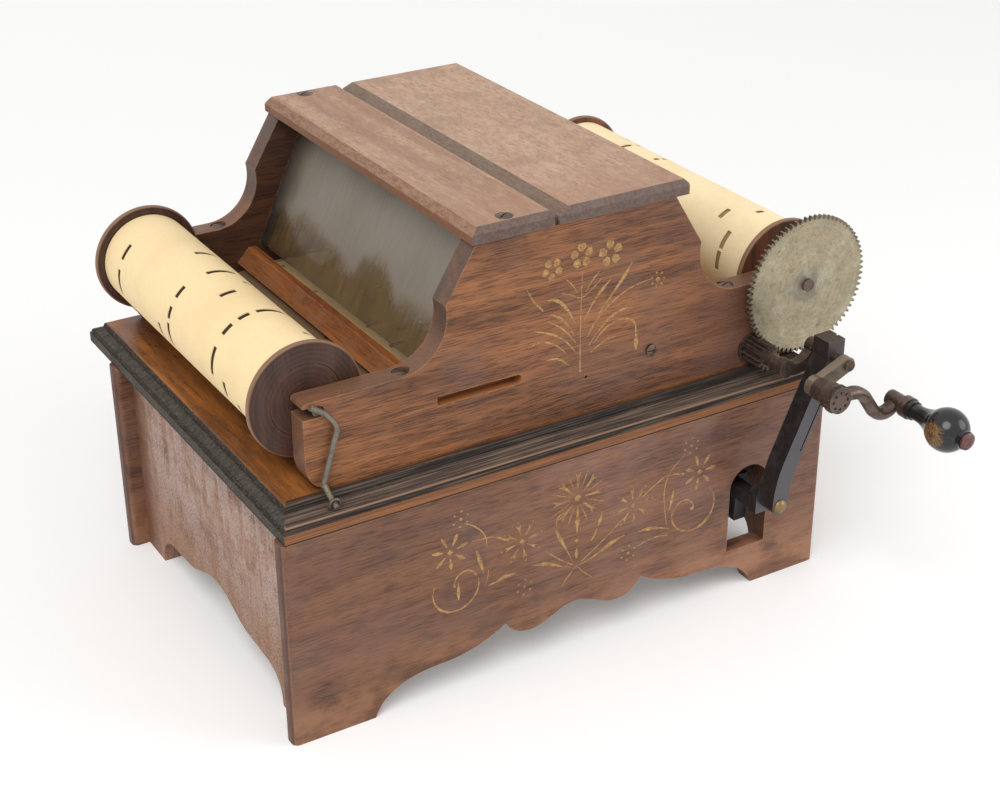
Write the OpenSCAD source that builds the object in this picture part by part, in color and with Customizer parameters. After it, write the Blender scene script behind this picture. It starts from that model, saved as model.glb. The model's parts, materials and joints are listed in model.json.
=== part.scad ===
// Hand-cranked table organette that plays a perforated paper roll.
// X runs along the paper (feed spool on the left), the crank side faces -Y, Z is up.

/* [Cabinet] */
// Length of the cabinet, along the paper
base_l = 330; // [324:1:340]
// Width of the cabinet, front to back
base_w = 228; // [224:1:234]
// Height of the cabinet, up to the top board
base_h = 116; // [113:1:120]
// Thickness of the four cabinet boards
board = 10; // [9:0.5:11]
// How far the end panels stand back from the ends of the front and back panels
end_inset = 10; // [6:0.5:14]
// Rounding of the upright edges of the front and back panels
end_round = 3.5; // [1:0.5:4.5]
// Length of each foot of the front and back panels
foot_l = 45.5; // [40:0.5:52]
// Length of each foot of the end panels
end_foot_l = 34; // [28:0.5:40]
// Height of the sawn edge between the feet
apron_z = 19; // [14:0.5:22]
// Height of the sawn edge at the middle of the front and back panels
crown_z = 28.8; // [25:0.1:32]
// Distance of the hanging lobes from the middle of the panel
lobe_x = 27; // [22:0.5:32]
// Height of the underside of the lobes
lobe_z = 20.6; // [17:0.1:24]
// Distance of the sharp notches from the middle of the panel
notch_x = 42.5; // [38:0.5:48]
// Height of the sharp notches
notch_z = 29.9; // [26:0.1:33]
// Height of the point in the middle of the end panels
end_peak_z = 30.7; // [26:0.1:34]

/* [Rod hole in the front panel] */
// Width of the arched hole
hole_w = 26; // [24:0.5:30]
// Height of the arched hole
hole_h = 52; // [51.5:0.5:55.5]
// Distance of the top of the arch below the top board
hole_top_drop = 38.5; // [37:0.5:39]

/* [Top board] */
// Thickness of the top board
top_t = 12.7; // [11:0.1:14]
// How far the ends of the top board stand back from the ends of the panels
top_setback = 2.3; // [0:0.1:4]
// How far the top board runs past the back cheek
top_rear_margin = 9.5; // [6:0.5:14]
// Height of the square strip under the milled edge
strip_h = 5.4; // [3:0.1:6]
// Width of the milled edge along the front
front_moulding_w = 16.5; // [12:0.5:17.5]
// Width of the milled edge at the ends and along the back
end_moulding_w = 9; // [8:0.5:9.5]

/* [Cheeks] */
// Thickness of the two cheeks
cheek_t = 13; // [11:0.5:14]
// Distance of the front cheek from the front of the cabinet
cheek_setback = 19.8; // [19.5:0.1:20.5]
// Height of the horns that carry the spools, over the top board
horn_rise = 47.3; // [46.3:0.1:49.3]
// Half of the length of a cheek over its horns
horn_reach = 153.5; // [152:0.5:156]
// Height of the cheeks over the top board, up to the roof
cheek_rise = 107.3; // [101.3:0.1:113.3]
// Half of the length of a cheek at the roof
cheek_top_reach = 58.5; // [56:0.5:60]
// Radius of the hollow between horn and shoulder
hollow_r = 26.2; // [25:0.1:27.5]
// Distance of the middle of that hollow from the middle of the cheek
hollow_x = 101.5; // [101:0.5:103]
// Height of the shoulder above the middle of the hollow
shoulder_rise = 5.3; // [3:0.1:8]
// Distance of the middle of the cheeks from the middle of the cabinet
cheek_x = 12.5; // [11:0.5:13]
// Length of the blind slot in the face of the front cheek
face_slot_l = 48.5; // [40:0.5:52]
// Height of the blind slot
face_slot_h = 5; // [3.5:0.1:6]
// Depth of the blind slot
face_slot_depth = 7; // [4:0.5:9]

/* [Roof and window] */
// Thickness of the roof boards
roof_t = 8.2; // [7:0.1:10]
// Length of the fixed roof board, along the paper
roof_l = 46.5; // [44:0.5:48]
// Length of the lid, along the paper
lid_l = 77.9; // [74:0.1:80]
// Width of the groove between the roof board and the lid
roof_groove = 2.6; // [2:0.1:4]
// How far the roof runs past the cheeks at the front and the back
roof_overhang = 0.8; // [0:0.1:2]
// Width of the bevel on the edges of the lid beside the groove
lid_bevel = 6; // [3:0.5:7]
// Width of the small bevel on the other roof edges
edge_bevel = 2.2; // [1:0.1:3]
// Thickness of the window glass
glass_t = 2; // [1.5:0.1:2.5]
// Depth of the grooves in the cheeks that hold the glass
glass_groove = 1.5; // [1:0.1:3]
// Height of the rails over the paper
rail_h = 10; // [8:0.5:11]
// Width of the rails over the paper
rail_w = 12; // [10:0.5:13]

/* [Paper and spools] */
// Width of the paper
paper_w = 197; // [190:0.5:200]
// Thickness of the stretch of paper between the spools
web_t = 0.4; // [0.3:0.05:0.6]
// Height of the stretched paper over the top board
web_rise = 21.3; // [20.8:0.1:22.3]
// Height of the spool axes over the top board
spool_rise = 41.6; // [41.3:0.1:42]
// Distance of the feed spool from the middle of the cheeks
feed_reach = 144.9; // [144:0.1:146]
// Distance of the take-up spool from the middle of the cheeks
takeup_reach = 143.5; // [143:0.1:144.5]
// Radius of the spool flanges
flange_r = 30.2; // [28.5:0.1:31]
// Thickness of the spool flanges
flange_t = 3.5; // [2.5:0.1:4]
// Radius of the wooden core of the spools
core_r = 8; // [6.5:0.5:10]
// Outer radius of the paper on the feed spool
feed_paper_r = 25.5; // [20:0.1:26]
// Outer radius of the paper on the take-up spool
takeup_paper_r = 26.5; // [20:0.1:27]
// Radius of the spool arbors
arbor_r = 3; // [2.5:0.1:3.2]

/* [Gearing and crank] */
// Module of the gear teeth
tooth_module = 1.04; // [1.03:0.01:1.05]
// Teeth of the large gear
gear_teeth = 74; // [72:1:75]
// Teeth of the pinion
pinion_teeth = 12; // [12:1:13]
// Thickness of the large gear
gear_t = 2.5; // [2:0.1:3]
// Gap between the front cheek and the large gear
gear_standoff = 4.3; // [4:0.1:5]
// Direction from the large gear to the pinion, in degrees
mesh_angle = 226.1; // [225:0.1:227]
// Length of the pinion
pinion_l = 14; // [12:0.5:15]
// Radius of the crankshaft
shaft_r = 4; // [3.5:0.1:4]
// Throw of the crank pin
throw = 21; // [20:0.5:22]
// Direction of the crank pin at rest, in degrees
throw_angle = 22.7; // [20:0.1:25]
// Radius of the crank pin
crank_pin_r = 3; // [2.5:0.1:3.3]
// Thickness of the inner crank web
web_plate_t = 6; // [5:0.5:7]
// Distance of the inner crank web in front of the pinion
web_standoff = 10.1; // [5:0.1:11]
// Gap between the two crank webs
web_gap = 20.2; // [19.5:0.1:24]
// Thickness of the outer crank web
outer_web_t = 5; // [4:0.5:6]
// Length of the barrel between the outer web and the arm
barrel_l = 9; // [7:0.5:12]
// Radius of the barrel
barrel_r = 6; // [5:0.5:6.5]
// Radius of the rosette on the arm's end
rosette_r = 7.2; // [6.5:0.1:8]
// Distance of the knob from the crank's axis, across
knob_dx = 43.6; // [40:0.2:48]
// Distance of the knob below the crank's axis
knob_drop = 13.7; // [10:0.1:16]
// Width of the crank arm
arm_w = 6.6; // [5:0.1:7.5]
// Depth of the crank arm, front to back
arm_depth = 8.4; // [7.6:0.1:9.5]
// How steeply the arm drops, in degrees
arm_dip = 55; // [45:1:60]
// Radius of the arm's first bend
arm_bend_r = 12; // [10:0.5:13]
// Radius of the hook below the knob
arm_hook_r = 9; // [7:0.5:10]
// Radius of the knob's ball
knob_r = 11.8; // [10:0.1:13]
// Length of the knob
knob_l = 45; // [40:0.5:48]
// Radius of the knob's spindle
spindle_r = 2.5; // [2:0.1:3]

/* [Bellows drive] */
// Thickness of the connecting rod, front to back
rod_t = 12; // [10:0.5:13]
// Width of the connecting rod
rod_w = 10; // [8:0.5:10]
// Distance of the lower end of the connecting rod below the top board
rod_eye_drop = 51.2; // [50:0.1:52]
// Extra lean of the rod's straight stretch, in degrees
rod_bow = 3.5; // [2.5:0.5:5]
// Distance of the connecting rod behind the outer web
rod_inset = 5.2; // [1:0.1:6]
// Gap between the rod and the arm that it drives
rod_play = 2; // [1.6:0.1:3]
// Width and height of the bellows arm
bar_w = 8; // [7:0.5:8]
// Thickness of the bellows arm's upright plates
bar_t = 5.5; // [5:0.5:6]
// Distance of the bellows hinge below the top board
hinge_drop = 25; // [24:0.5:26]
// Opening of the feeder at rest, in degrees
feeder_open = 13; // [12:0.5:13.5]
// Opening of the reservoir at rest, in degrees
reservoir_open = 12; // [10:0.5:13]
// Thickness of the moving bellows boards
bellows_board_t = 9; // [8:0.5:10]
// Thickness of the fixed bellows board
wind_board_t = 10; // [8:0.5:12]
// Gap between the moving bellows boards and the front panel
bellows_gap = 16; // [14:1:22]

/* [Spool catch] */
// Radius of the catch wire
wire_r = 1.5; // [1.2:0.1:1.7]

/* [Clearances] */
// Running clearance of every shaft in its hole
running = 0.05; // [0.03:0.01:0.1]
// Gap between a spool and the cheeks beside it
spool_gap = 0.75; // [0.4:0.05:1.2]
// Gap between the paper and what it passes
paper_gap = 0.3; // [0.2:0.05:0.6]
// Gap between moving parts that face each other
side_gap = 0.3; // [0.2:0.05:0.5]

/* [Hidden] */
$fn = 64;

// Colours, as seen on the object
walnut = [0.36, 0.2, 0.13];
roof_brown = [0.46, 0.32, 0.25];
field_brown = [0.52, 0.29, 0.13];
rail_red = [0.56, 0.29, 0.16];
inner_wood = [0.62, 0.48, 0.33];
paper_cream = [0.93, 0.8, 0.58];
spool_brown = [0.3, 0.17, 0.12];
old_iron = [0.3, 0.26, 0.24];
black_iron = [0.1, 0.1, 0.11];
nickel = [0.56, 0.55, 0.47];
old_brass = [0.62, 0.5, 0.26];
dark_cloth = [0.36, 0.1, 0.12];
leather = [0.4, 0.33, 0.28];

// Cabinet
front_y = -base_w / 2;
panel_in_y = base_w / 2 - board;
panel_in_x = base_l / 2 - end_inset - board;
foot_x = base_l / 2 - foot_l;
foot_sweep = 39.5;
foot_heel = 7;
end_foot_y = base_w / 2 - end_foot_l;
end_foot_sweep = 22;
end_flat = 16;
hinge_z = base_h - hinge_drop;
block_side = 16;
block_low_z = 20;
block_high_z = hinge_z - 17;
hole_top_z = base_h - hole_top_drop;
hole_sill_z = hole_top_z - hole_h;

// Top board
top_z = base_h + top_t;
top_half_l = base_l / 2 - top_setback;
shelf_low_h = 8;
shelf_high_h = 9.2;
nose_w = 2.6;
ovolo_w = 2.6;

// Cheeks, from the front
horn_z = top_z + horn_rise;
cheek_top_z = top_z + cheek_rise;
web_z = top_z + web_rise;
spool_z = top_z + spool_rise;
cheek_front_y = front_y + cheek_setback;
well_front_y = cheek_front_y + cheek_t;
well_back_y = well_front_y + paper_w + 2 * (paper_gap + flange_t + spool_gap);
cheek_back_y = well_back_y + cheek_t;
top_back_y = cheek_back_y + top_rear_margin;
hollow_z = horn_z + hollow_r;
shoulder_z = hollow_z + shoulder_rise;
shoulder_x = hollow_x - sqrt(hollow_r * hollow_r - shoulder_rise * shoulder_rise);
horn_end_x = cheek_x - horn_reach;
horn_foot_reach = horn_reach - 11.3;
horn_foot_h = 14.3;
horn_nose_r = 3;
front_mid_y = cheek_front_y + cheek_t / 2;
back_mid_y = cheek_back_y - cheek_t / 2;
face_slot_x = cheek_x - 81.5;
face_slot_z = web_z + 5.5;

// Window and rails, measured from the middle of the cheeks
glass_low_x = -74.5;
glass_high_x = -41.5;
glass_low_z = web_z + 13;
glass_high_z = cheek_top_z - 2;
glass_slope = atan2(glass_high_z - glass_low_z, glass_high_x - glass_low_x);
glass_l = norm([glass_high_x - glass_low_x, glass_high_z - glass_low_z]);
glass_play = 0.2;
slope_board_t = 6;
rail_in_x = 78.5;
rail_low_z = web_z + web_t + 1.1;
rail_top_w = 4.5;
rail_nose = 1.5;

// Roof
roof_low_x = cheek_x - 61;
roof_high_x = roof_low_x + roof_l;
lid_low_x = roof_high_x + roof_groove;
lid_high_x = lid_low_x + lid_l;
roof_z = cheek_top_z + roof_t;
lid_drop = roof_t / 2;
lid_gap = 0.2;
roof_front_y = cheek_front_y - roof_overhang;
roof_back_y = cheek_back_y + roof_overhang;

// Screws
screw_head_r = 4.5;
screw_head_t = 1.7;
screw_shank_r = 2.1;
screw_slot_w = 0.9;
screw_l = 18;
roof_screw_x = roof_low_x + 22;
roof_screw_sink = 0.9;
horn_screw_reach = 98;
horn_screw_sink = 1.2;
chest_screw_x = cheek_x + 45.6;
chest_screw_z = web_z + 4;
chest_screw_head_r = 3.1;
chest_screw_head_t = 2.2;
chest_screw_shank_r = 1.5;
nail_hole_r = 0.9;
nail_hole_depth = 4;
face_nail_x = cheek_x + 5.8;
face_nail_z = chest_screw_z - 5.6;
horn_nail_x = horn_end_x + 22;
horn_nail_y = cheek_front_y + 2.7;

// Spools
feed_x = cheek_x - feed_reach;
takeup_x = cheek_x + takeup_reach;
spool_front_y = well_front_y + spool_gap;
spool_back_y = well_back_y - spool_gap;
paper_front_y = spool_front_y + flange_t + paper_gap;
paper_back_y = paper_front_y + paper_w;
rim_r = 1.2;
turned_ring_r = 0.62 * flange_r;
core_seat = 12;
rear_bore_depth = 9;

// Paper between the spools
web_left_x = cheek_x - 84.5;
web_right_x = cheek_x + 84.5;
tracker_top_z = web_z - paper_gap;
tracker_t = 4.7;
tracker_reach = 72;
tracker_bevel = 3;
chest_reach = 62;
pan_t = 3;
notes = 14;
note_pitch = paper_w / notes;
tracker_hole = 5;
cell_reach = 30;
cell_wall = 3.5;
cell_roof = 4;
wind_slot_reach = 14;
wind_slot_w = 3.2;
reed_reach = 22;
reed_step = 0.5;
reed_w = 7.2;
reed_t = 1.6;
tongue_w = 2.2;
tongue_t = 0.3;

// Gearing, with the gear corrected for the small pinion
pressure_angle = 20;
tooth_shift = 0.3;
tooth_play = 0.06;
mesh_play = 0.05;
gear_tip_r = tooth_module * (gear_teeth / 2 + 1 - tooth_shift);
centre_distance = tooth_module * (gear_teeth + pinion_teeth) / 2 + mesh_play;
crank_x = takeup_x + centre_distance * cos(mesh_angle);
crank_z = spool_z + centre_distance * sin(mesh_angle);
gear_back_y = cheek_front_y - gear_standoff;
gear_front_y = gear_back_y - gear_t;
hub_r = 7.5;
bushing_r = 6;
bushing_flange_r = 8.4;
bushing_flange_t = 1.4;
pinion_back_y = cheek_front_y - bushing_flange_t - side_gap;
pinion_front_y = pinion_back_y - pinion_l;

// Crank
web_back_y = pinion_front_y - web_standoff;
web_front_y = web_back_y - web_plate_t;
bow_angle = 50;
bow_w = 6.4;
bow_shaft_boss_r = 5;
bow_pin_boss_r = 4;
outer_shaft_boss_r = 5.6;
outer_pin_boss_r = 4.2;
pin_end = 1.6;
outer_back_y = web_front_y - web_gap;
outer_front_y = outer_back_y - outer_web_t;
arm_back_y = outer_front_y - barrel_l;
arm_front_y = arm_back_y - arm_depth;
crank_pin_x = crank_x + throw * cos(throw_angle);
crank_pin_z = crank_z + throw * sin(throw_angle);
shaft_in_y = well_front_y + 7;
collar_t = 5;
collar_r = 6.5;
arm_lift = 30;
arm_boss_r = 4.6;
arm_boss_l = 1.5;
knob_x = crank_x + knob_dx;
knob_z = crank_z - knob_drop;
knob_back_y = arm_front_y - side_gap - arm_boss_l;
knob_front_y = knob_back_y - knob_l;
petals = 8;
petal_r = 0.9;
petal_ring_r = 4.6;
ferrule_t = 4.5;
ferrule_r = 6;
knob_neck_r = 4.4;
cap_r = 4.6;
cap_t = 3;
cap_dome_r = 8.2;

// Connecting rod: it hangs from the crank pin, leans straight and then bends upright
rod_front_y = outer_back_y + rod_inset;
rod_back_y = rod_front_y + rod_t;
rod_mid_y = (rod_front_y + rod_back_y) / 2;
hole_x = crank_x - 11;
rod_eye_x = hole_x;
rod_eye_z = base_h - rod_eye_drop;
rod_dx = crank_pin_x - rod_eye_x;
rod_dz = crank_pin_z - rod_eye_z;
rod_lean = atan2(rod_dx, rod_dz) + rod_bow;
rod_bend_r = norm([rod_dx, rod_dz]) * sin(rod_bow) / (1 - cos(rod_lean));
rod_straight = (rod_dx - rod_bend_r * (1 - cos(rod_lean))) / sin(rod_lean);
rod_head_w = 11;
rod_head_top = 10;
rod_head_low = 9;
rod_head_slot = 1.6;
rod_slit_w = 0.9;
rod_slit_l = 30;
rod_slit_start = 24;
rod_slit_depth = 2;
rod_pin_r = 2.6;
rod_pin_head_r = 4;
rod_pin_head_t = 2.6;

// Bellows
hinge_y = panel_in_y - 8;
bellows_l = hinge_y + panel_in_y - bellows_gap;
board_drop = 1;
board_low = board_drop + bellows_board_t;
wind_z = hinge_z + board_drop;
wind_top_z = wind_z + wind_board_t;
bellows_start = 4;
feeder_low_x = cheek_x - 42;
feeder_high_x = panel_in_x - 5;
reservoir_low_x = -panel_in_x + 6;
reservoir_high_x = feeder_low_x - 6;
cloth_inset = 2;
cloth_wall = 2;
pleat = 3.5;
hinge_strip_t = 1.5;
hinge_strip_low_z = hinge_z - 8;
wind_way_reach = 30;
wind_way_half_w = 45;
wind_way_lip = 12;
trunk_half_w = 60;
trunk_wall = 10;
trunk_low_x = reservoir_low_x + 8;
trunk_high_x = cheek_x + wind_way_reach + trunk_wall;
port_inset = 25;
port_half_w = 40;
flap_t = 1;
flap_lap = 10;
outlet_reach = 22;
outlet_half_w = 36;
inlet_r = 6;
inlet_x = [cheek_x, cheek_x + 36];
inlet_y = [-0.61 * bellows_l, -0.413 * bellows_l];
spring_w = 18;
spring_t = 1.2;
spring_bend_y = -60;
spring_tip_y = -150;
eye_front_y = rod_back_y + rod_play;
eye_back_y = eye_front_y + bar_t;
eye_boss = 1;
arm_z = rod_eye_z - 6.3;
riser_x = rod_eye_x + 7.5;
riser_front_y = -panel_in_y + 5;
riser_back_y = riser_front_y + bar_t;
arm_foot_w = 16;
arm_foot_l = 56;
arm_foot_t = 3;
arm_foot_y = 3 - hinge_y - panel_in_y;
riser_low_z = hinge_z + arm_foot_y * sin(feeder_open) - (board_low + arm_foot_t) * cos(feeder_open) - 1;
arm_screw_r = 3.2;
arm_screw_t = 1.8;

// Spool catch: a bent wire in front of the horn, from its tip down to the staple
catch_gap = 1;
catch_y = cheek_front_y - wire_r - catch_gap;
catch_path = [
    [horn_end_x + 3, catch_y, horn_z - 1],
    [horn_end_x + 11, catch_y, horn_z - 7],
    [horn_end_x + 16, catch_y, horn_z - 15],
    [horn_end_x + 14.5, catch_y, horn_z - 22],
    [horn_end_x + 8, catch_y - 0.3, top_z + 4.5],
    [horn_end_x + 8, front_y + front_moulding_w - 0.5, top_z + wire_r + 1.3],
    [horn_end_x + 8, front_y + front_moulding_w - 7, base_h + shelf_high_h + wire_r + 1.3],
    [horn_end_x + 8, front_y + nose_w + 1.5, base_h + shelf_low_h + wire_r + 0.5]
];
catch_line = smooth(catch_path);
catch_end = len(catch_line) - 1;
staple_at = catch_line[catch_end - 2];
catch_run = catch_line[catch_end - 1] - catch_line[catch_end - 3];
catch_steepness = norm(catch_run) / abs(catch_run.y);
staple_r = 0.8;
staple_low_z = base_h + 2;
staple_reach = (wire_r + staple_r) * catch_steepness + side_gap;

// The origin is under the middle of the whole object's box, at the height of the floor
knob_end_y = knob_front_y - cap_t;
middle_x = (takeup_x + gear_tip_r - base_l / 2) / 2;
middle_y = (top_back_y + knob_end_y) / 2;

module place() {
    translate([-middle_x, -middle_y, 0]) children();
}

// Extrudes an outline drawn with x across and z up, from y_front back to y_back
module slab(y_front, y_back) {
    translate([0, y_back, 0]) rotate([90, 0, 0]) linear_extrude(y_back - y_front) children();
}

// Extrudes an outline drawn with y across and z up, from x_low to x_high
module slab_along_x(x_low, x_high) {
    translate([x_low, 0, 0]) rotate([90, 0, 90]) linear_extrude(x_high - x_low) children();
}

// A round bar along Y
module bar_y(x, z, y_front, y_back, r) {
    slab(y_front, y_back) translate([x, z]) circle(r);
}

// An upright round bar
module bar_z(x, y, z_low, z_high, r) {
    translate([x, y, z_low]) cylinder(h = z_high - z_low, r = r);
}

// A box between two corners
module block(low, high) {
    translate(low) cube(high - low);
}

// Points of a curve from a to c that bends towards b, without its last point
function bend(a, b, c, n = 10) =
    [for (i = [0:n - 1]) let (t = i / n) (1 - t) * (1 - t) * a + 2 * t * (1 - t) * b + t * t * c];

// Points of a double curve that leaves a and reaches d level, without its last point
function ogee(a, d, n = 14) =
    let (b = [a.x + 0.38 * (d.x - a.x), a.y], c = [d.x - 0.36 * (d.x - a.x), d.y])
    [for (i = [0:n - 1]) let (t = i / n, s = 1 - t)
        s * s * s * a + 3 * s * s * t * b + 3 * s * t * t * c + t * t * t * d];

function mirrored(points) = [for (i = [len(points) - 1:-1:1]) [-points[i].x, points[i].y]];

// Sawn lower edges, from the middle out to the foot
function panel_edge() =
    let (flat_x = foot_x - foot_sweep)
    concat(
        ogee([0, crown_z], [lobe_x, lobe_z]),
        bend([lobe_x, lobe_z], [lobe_x + 0.65 * (notch_x - lobe_x), lobe_z], [notch_x, notch_z]),
        bend([notch_x, notch_z], [notch_x + 0.47 * (flat_x - notch_x), apron_z], [flat_x, apron_z]),
        bend([flat_x, apron_z], [foot_x - foot_heel, apron_z], [foot_x, 0]),
        [[foot_x, 0]]
    );

function end_panel_edge() =
    let (flat_y = end_foot_y - end_foot_sweep)
    concat(
        ogee([0, end_peak_z], [flat_y - end_flat, apron_z + 1]),
        [[flat_y - end_flat, apron_z + 1]],
        bend([flat_y, apron_z], [end_foot_y + 0.5, apron_z], [end_foot_y, 0]),
        [[end_foot_y, 0]]
    );

module panel_outline(edge, half_l, height) {
    polygon(concat(mirrored(edge), edge, [[half_l, 0], [half_l, height], [-half_l, height], [-half_l, 0]]));
}

module rounded_plan(half_l, y_low, y_high, r) {
    translate([-half_l + r, y_low]) square([2 * (half_l - r), y_high - y_low]);
    translate([-half_l, y_low + r]) square([2 * half_l, y_high - y_low - 2 * r]);
    for (x = [-half_l + r, half_l - r], y = [y_low + r, y_high - r])
        translate([x, y]) circle(r);
}

module long_panel(y_low, y_high) {
    intersection() {
        slab(y_low, y_high) panel_outline(panel_edge(), base_l / 2, base_h);
        linear_extrude(base_h) rounded_plan(base_l / 2, y_low, y_high, end_round);
    }
}

module rod_hole_outline() {
    arch_z = hole_top_z - hole_w / 2;
    translate([hole_x - hole_w / 2, hole_sill_z]) square([hole_w, arch_z - hole_sill_z]);
    translate([hole_x, arch_z]) circle(hole_w / 2);
}

module front_panel() {
    color(walnut) place() difference() {
        long_panel(front_y, front_y + board);
        slab(front_y - 1, front_y + board + 1) rod_hole_outline();
    }
}

module back_panel() {
    color(walnut) place() long_panel(base_w / 2 - board, base_w / 2);
}

module end_panel(x_low) {
    slab_along_x(x_low, x_low + board) panel_outline(end_panel_edge(), panel_in_y, base_h);
}

module left_panel() {
    color(walnut) place() end_panel(-panel_in_x - board);
}

module right_panel() {
    color(walnut) place() end_panel(panel_in_x);
}

// Glue blocks in the four corners, under the bellows board
module corner_blocks() {
    color(inner_wood) place()
        for (mx = [0, 1], my = [0, 1])
            mirror([mx, 0, 0]) mirror([0, my, 0])
                translate([panel_in_x, panel_in_y, block_low_z])
                    linear_extrude(block_high_z - block_low_z)
                        polygon([[0, 0], [-block_side, 0], [0, -block_side]]);
}

// One milled edge from the bottom up to the field: strip, rounded nose, shelf and quarter round.
// X runs inwards, y up.
function milled_edge(width) = concat(
    [[0, 0], [0, strip_h], [0.8, strip_h]],
    bend([0.8, strip_h], [0.9, shelf_low_h], [nose_w, shelf_low_h], 6),
    [[nose_w, shelf_low_h]],
    bend([width - ovolo_w, shelf_high_h], [width - ovolo_w, top_t], [width, top_t], 6),
    [[width, top_t]]
);

module milled_outline(low, high, low_w, high_w) {
    low_side = [for (p = milled_edge(low_w)) [low + p.x, base_h + p.y]];
    high_side = [for (p = milled_edge(high_w)) [high - p.x, base_h + p.y]];
    polygon(concat(low_side, [for (i = [len(high_side) - 1:-1:0]) high_side[i]]));
}

// The trunk's wind way passes through the top board
module wind_way(z_low, z_high, margin) {
    reach = wind_way_reach + margin;
    half_w = wind_way_half_w + margin;
    block([cheek_x - reach, -half_w, z_low], [cheek_x + reach, half_w, z_high]);
}

module top_board() {
    color(field_brown) place() difference() {
        intersection() {
            slab(front_y, top_back_y)
                milled_outline(-top_half_l, top_half_l, end_moulding_w, end_moulding_w);
            slab_along_x(-top_half_l, top_half_l)
                milled_outline(front_y, top_back_y, front_moulding_w, end_moulding_w);
        }
        wind_way(base_h - 1, top_z + 1, 0);
        staple_legs(top_z + 1);
        for (side = [-1, 1], y = [front_mid_y, back_mid_y])
            bar_z(cheek_x + side * horn_screw_reach, y, base_h + 1, top_z + 1, screw_shank_r);
    }
}

// Right half of a cheek, from its middle
function cheek_half() = concat(
    [[0, top_z]],
    bend([horn_foot_reach, top_z], [horn_reach - 1, top_z + 1], [horn_reach, top_z + horn_foot_h]),
    [[horn_reach, top_z + horn_foot_h]],
    bend([horn_reach, horn_z - horn_nose_r], [horn_reach, horn_z], [horn_reach - horn_nose_r, horn_z], 6),
    [
        [horn_reach - horn_nose_r, horn_z],
        [hollow_x, horn_z],
        [hollow_x, shoulder_z],
        [shoulder_x, shoulder_z],
        [cheek_top_reach, cheek_top_z],
        [0, cheek_top_z]
    ]
);

module cheek_outline() {
    for (side = [0, 1])
        mirror([side, 0]) difference() {
            polygon(cheek_half());
            translate([hollow_x, hollow_z]) circle(hollow_r);
        }
}

module spool_slot() {
    slot_h = 2 * (arbor_r + running);
    translate([feed_x, spool_z]) circle(slot_h / 2);
    translate([feed_x - 20, spool_z - slot_h / 2]) square([20, slot_h]);
}

// Groove for the window glass, as a slanted strip of the glass's own outline
module glass_outline(margin) {
    translate([cheek_x + glass_low_x, glass_low_z]) rotate(glass_slope)
        translate([-margin, -glass_t / 2 - margin / 2]) square([glass_l + 2 * margin, glass_t + margin]);
}

module face_slot_outline() {
    translate([face_slot_x, face_slot_z]) square([face_slot_l - face_slot_h / 2, face_slot_h]);
    translate([face_slot_x + face_slot_l - face_slot_h / 2, face_slot_z + face_slot_h / 2])
        circle(face_slot_h / 2);
}

module cheek_body(y_low, y_high) {
    slab(y_low, y_high) translate([cheek_x, 0]) cheek_outline();
}

module horn_screw_holes(y) {
    for (side = [-1, 1]) {
        x = cheek_x + side * horn_screw_reach;
        bar_z(x, y, horn_z - horn_screw_sink, horn_z + 5, screw_head_r + 0.1);
        bar_z(x, y, top_z - 1, horn_z, screw_shank_r);
    }
}

module roof_screw_hole(y) {
    bar_z(roof_screw_x, y, cheek_top_z + 2 - screw_l, roof_z + 1, screw_shank_r);
}

module front_cheek() {
    color(walnut) place() difference() {
        cheek_body(cheek_front_y, well_front_y);
        slab(cheek_front_y - 1, well_front_y + 1) spool_slot();
        bar_y(takeup_x, spool_z, cheek_front_y - 1, well_front_y + 1, arbor_r + running);
        bar_y(crank_x, crank_z, cheek_front_y - 1, well_front_y + 1, bushing_r);
        slab(well_front_y - glass_groove, well_front_y + 1) glass_outline(glass_play);
        slab(cheek_front_y - 1, cheek_front_y + face_slot_depth) face_slot_outline();
        bar_y(chest_screw_x, chest_screw_z, cheek_front_y - 1, well_front_y + 1, chest_screw_shank_r);
        bar_y(face_nail_x, face_nail_z, cheek_front_y - 1, cheek_front_y + nail_hole_depth, nail_hole_r);
        bar_z(horn_nail_x, horn_nail_y, horn_z - nail_hole_depth, horn_z + 1, nail_hole_r);
        horn_screw_holes(front_mid_y);
        roof_screw_hole(front_mid_y);
    }
}

module back_cheek() {
    color(walnut) place() difference() {
        cheek_body(well_back_y, cheek_back_y);
        slab(well_back_y - 1, cheek_back_y + 1) spool_slot();
        bar_y(takeup_x, spool_z, well_back_y - 1, well_back_y + rear_bore_depth, arbor_r + running);
        slab(well_back_y - 1, well_back_y + glass_groove) glass_outline(glass_play);
        bar_y(chest_screw_x, chest_screw_z, well_back_y - 1, cheek_back_y + 1, chest_screw_shank_r);
        horn_screw_holes(back_mid_y);
        roof_screw_hole(back_mid_y);
    }
}

// Rail over the paper, with the slanted face towards the spool
module rail_outline() {
    polygon([
        [rail_in_x, rail_low_z],
        [rail_in_x, rail_low_z + rail_h],
        [rail_in_x + rail_top_w, rail_low_z + rail_h],
        [rail_in_x + rail_w, rail_low_z + 0.2 * rail_h],
        [rail_in_x + rail_w - rail_nose, rail_low_z]
    ]);
}

module feed_rail() {
    color(rail_red) place() slab(well_front_y, well_back_y)
        translate([cheek_x, 0]) mirror([1, 0]) rail_outline();
}

module takeup_rail() {
    color(rail_red) place() slab(well_front_y, well_back_y) translate([cheek_x, 0]) rail_outline();
}

module window_glass() {
    reach = glass_groove - glass_play;
    color([0.75, 0.78, 0.74, 0.4]) place() slab(well_front_y - reach, well_back_y + reach) glass_outline(0);
}

module slope_board() {
    color(walnut) place() slab(well_front_y, well_back_y)
        translate([cheek_x, 0]) mirror([1, 0]) translate([glass_low_x, glass_low_z]) rotate(glass_slope)
            translate([0, -slope_board_t]) square([glass_l - 2, slope_board_t]);
}

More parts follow.
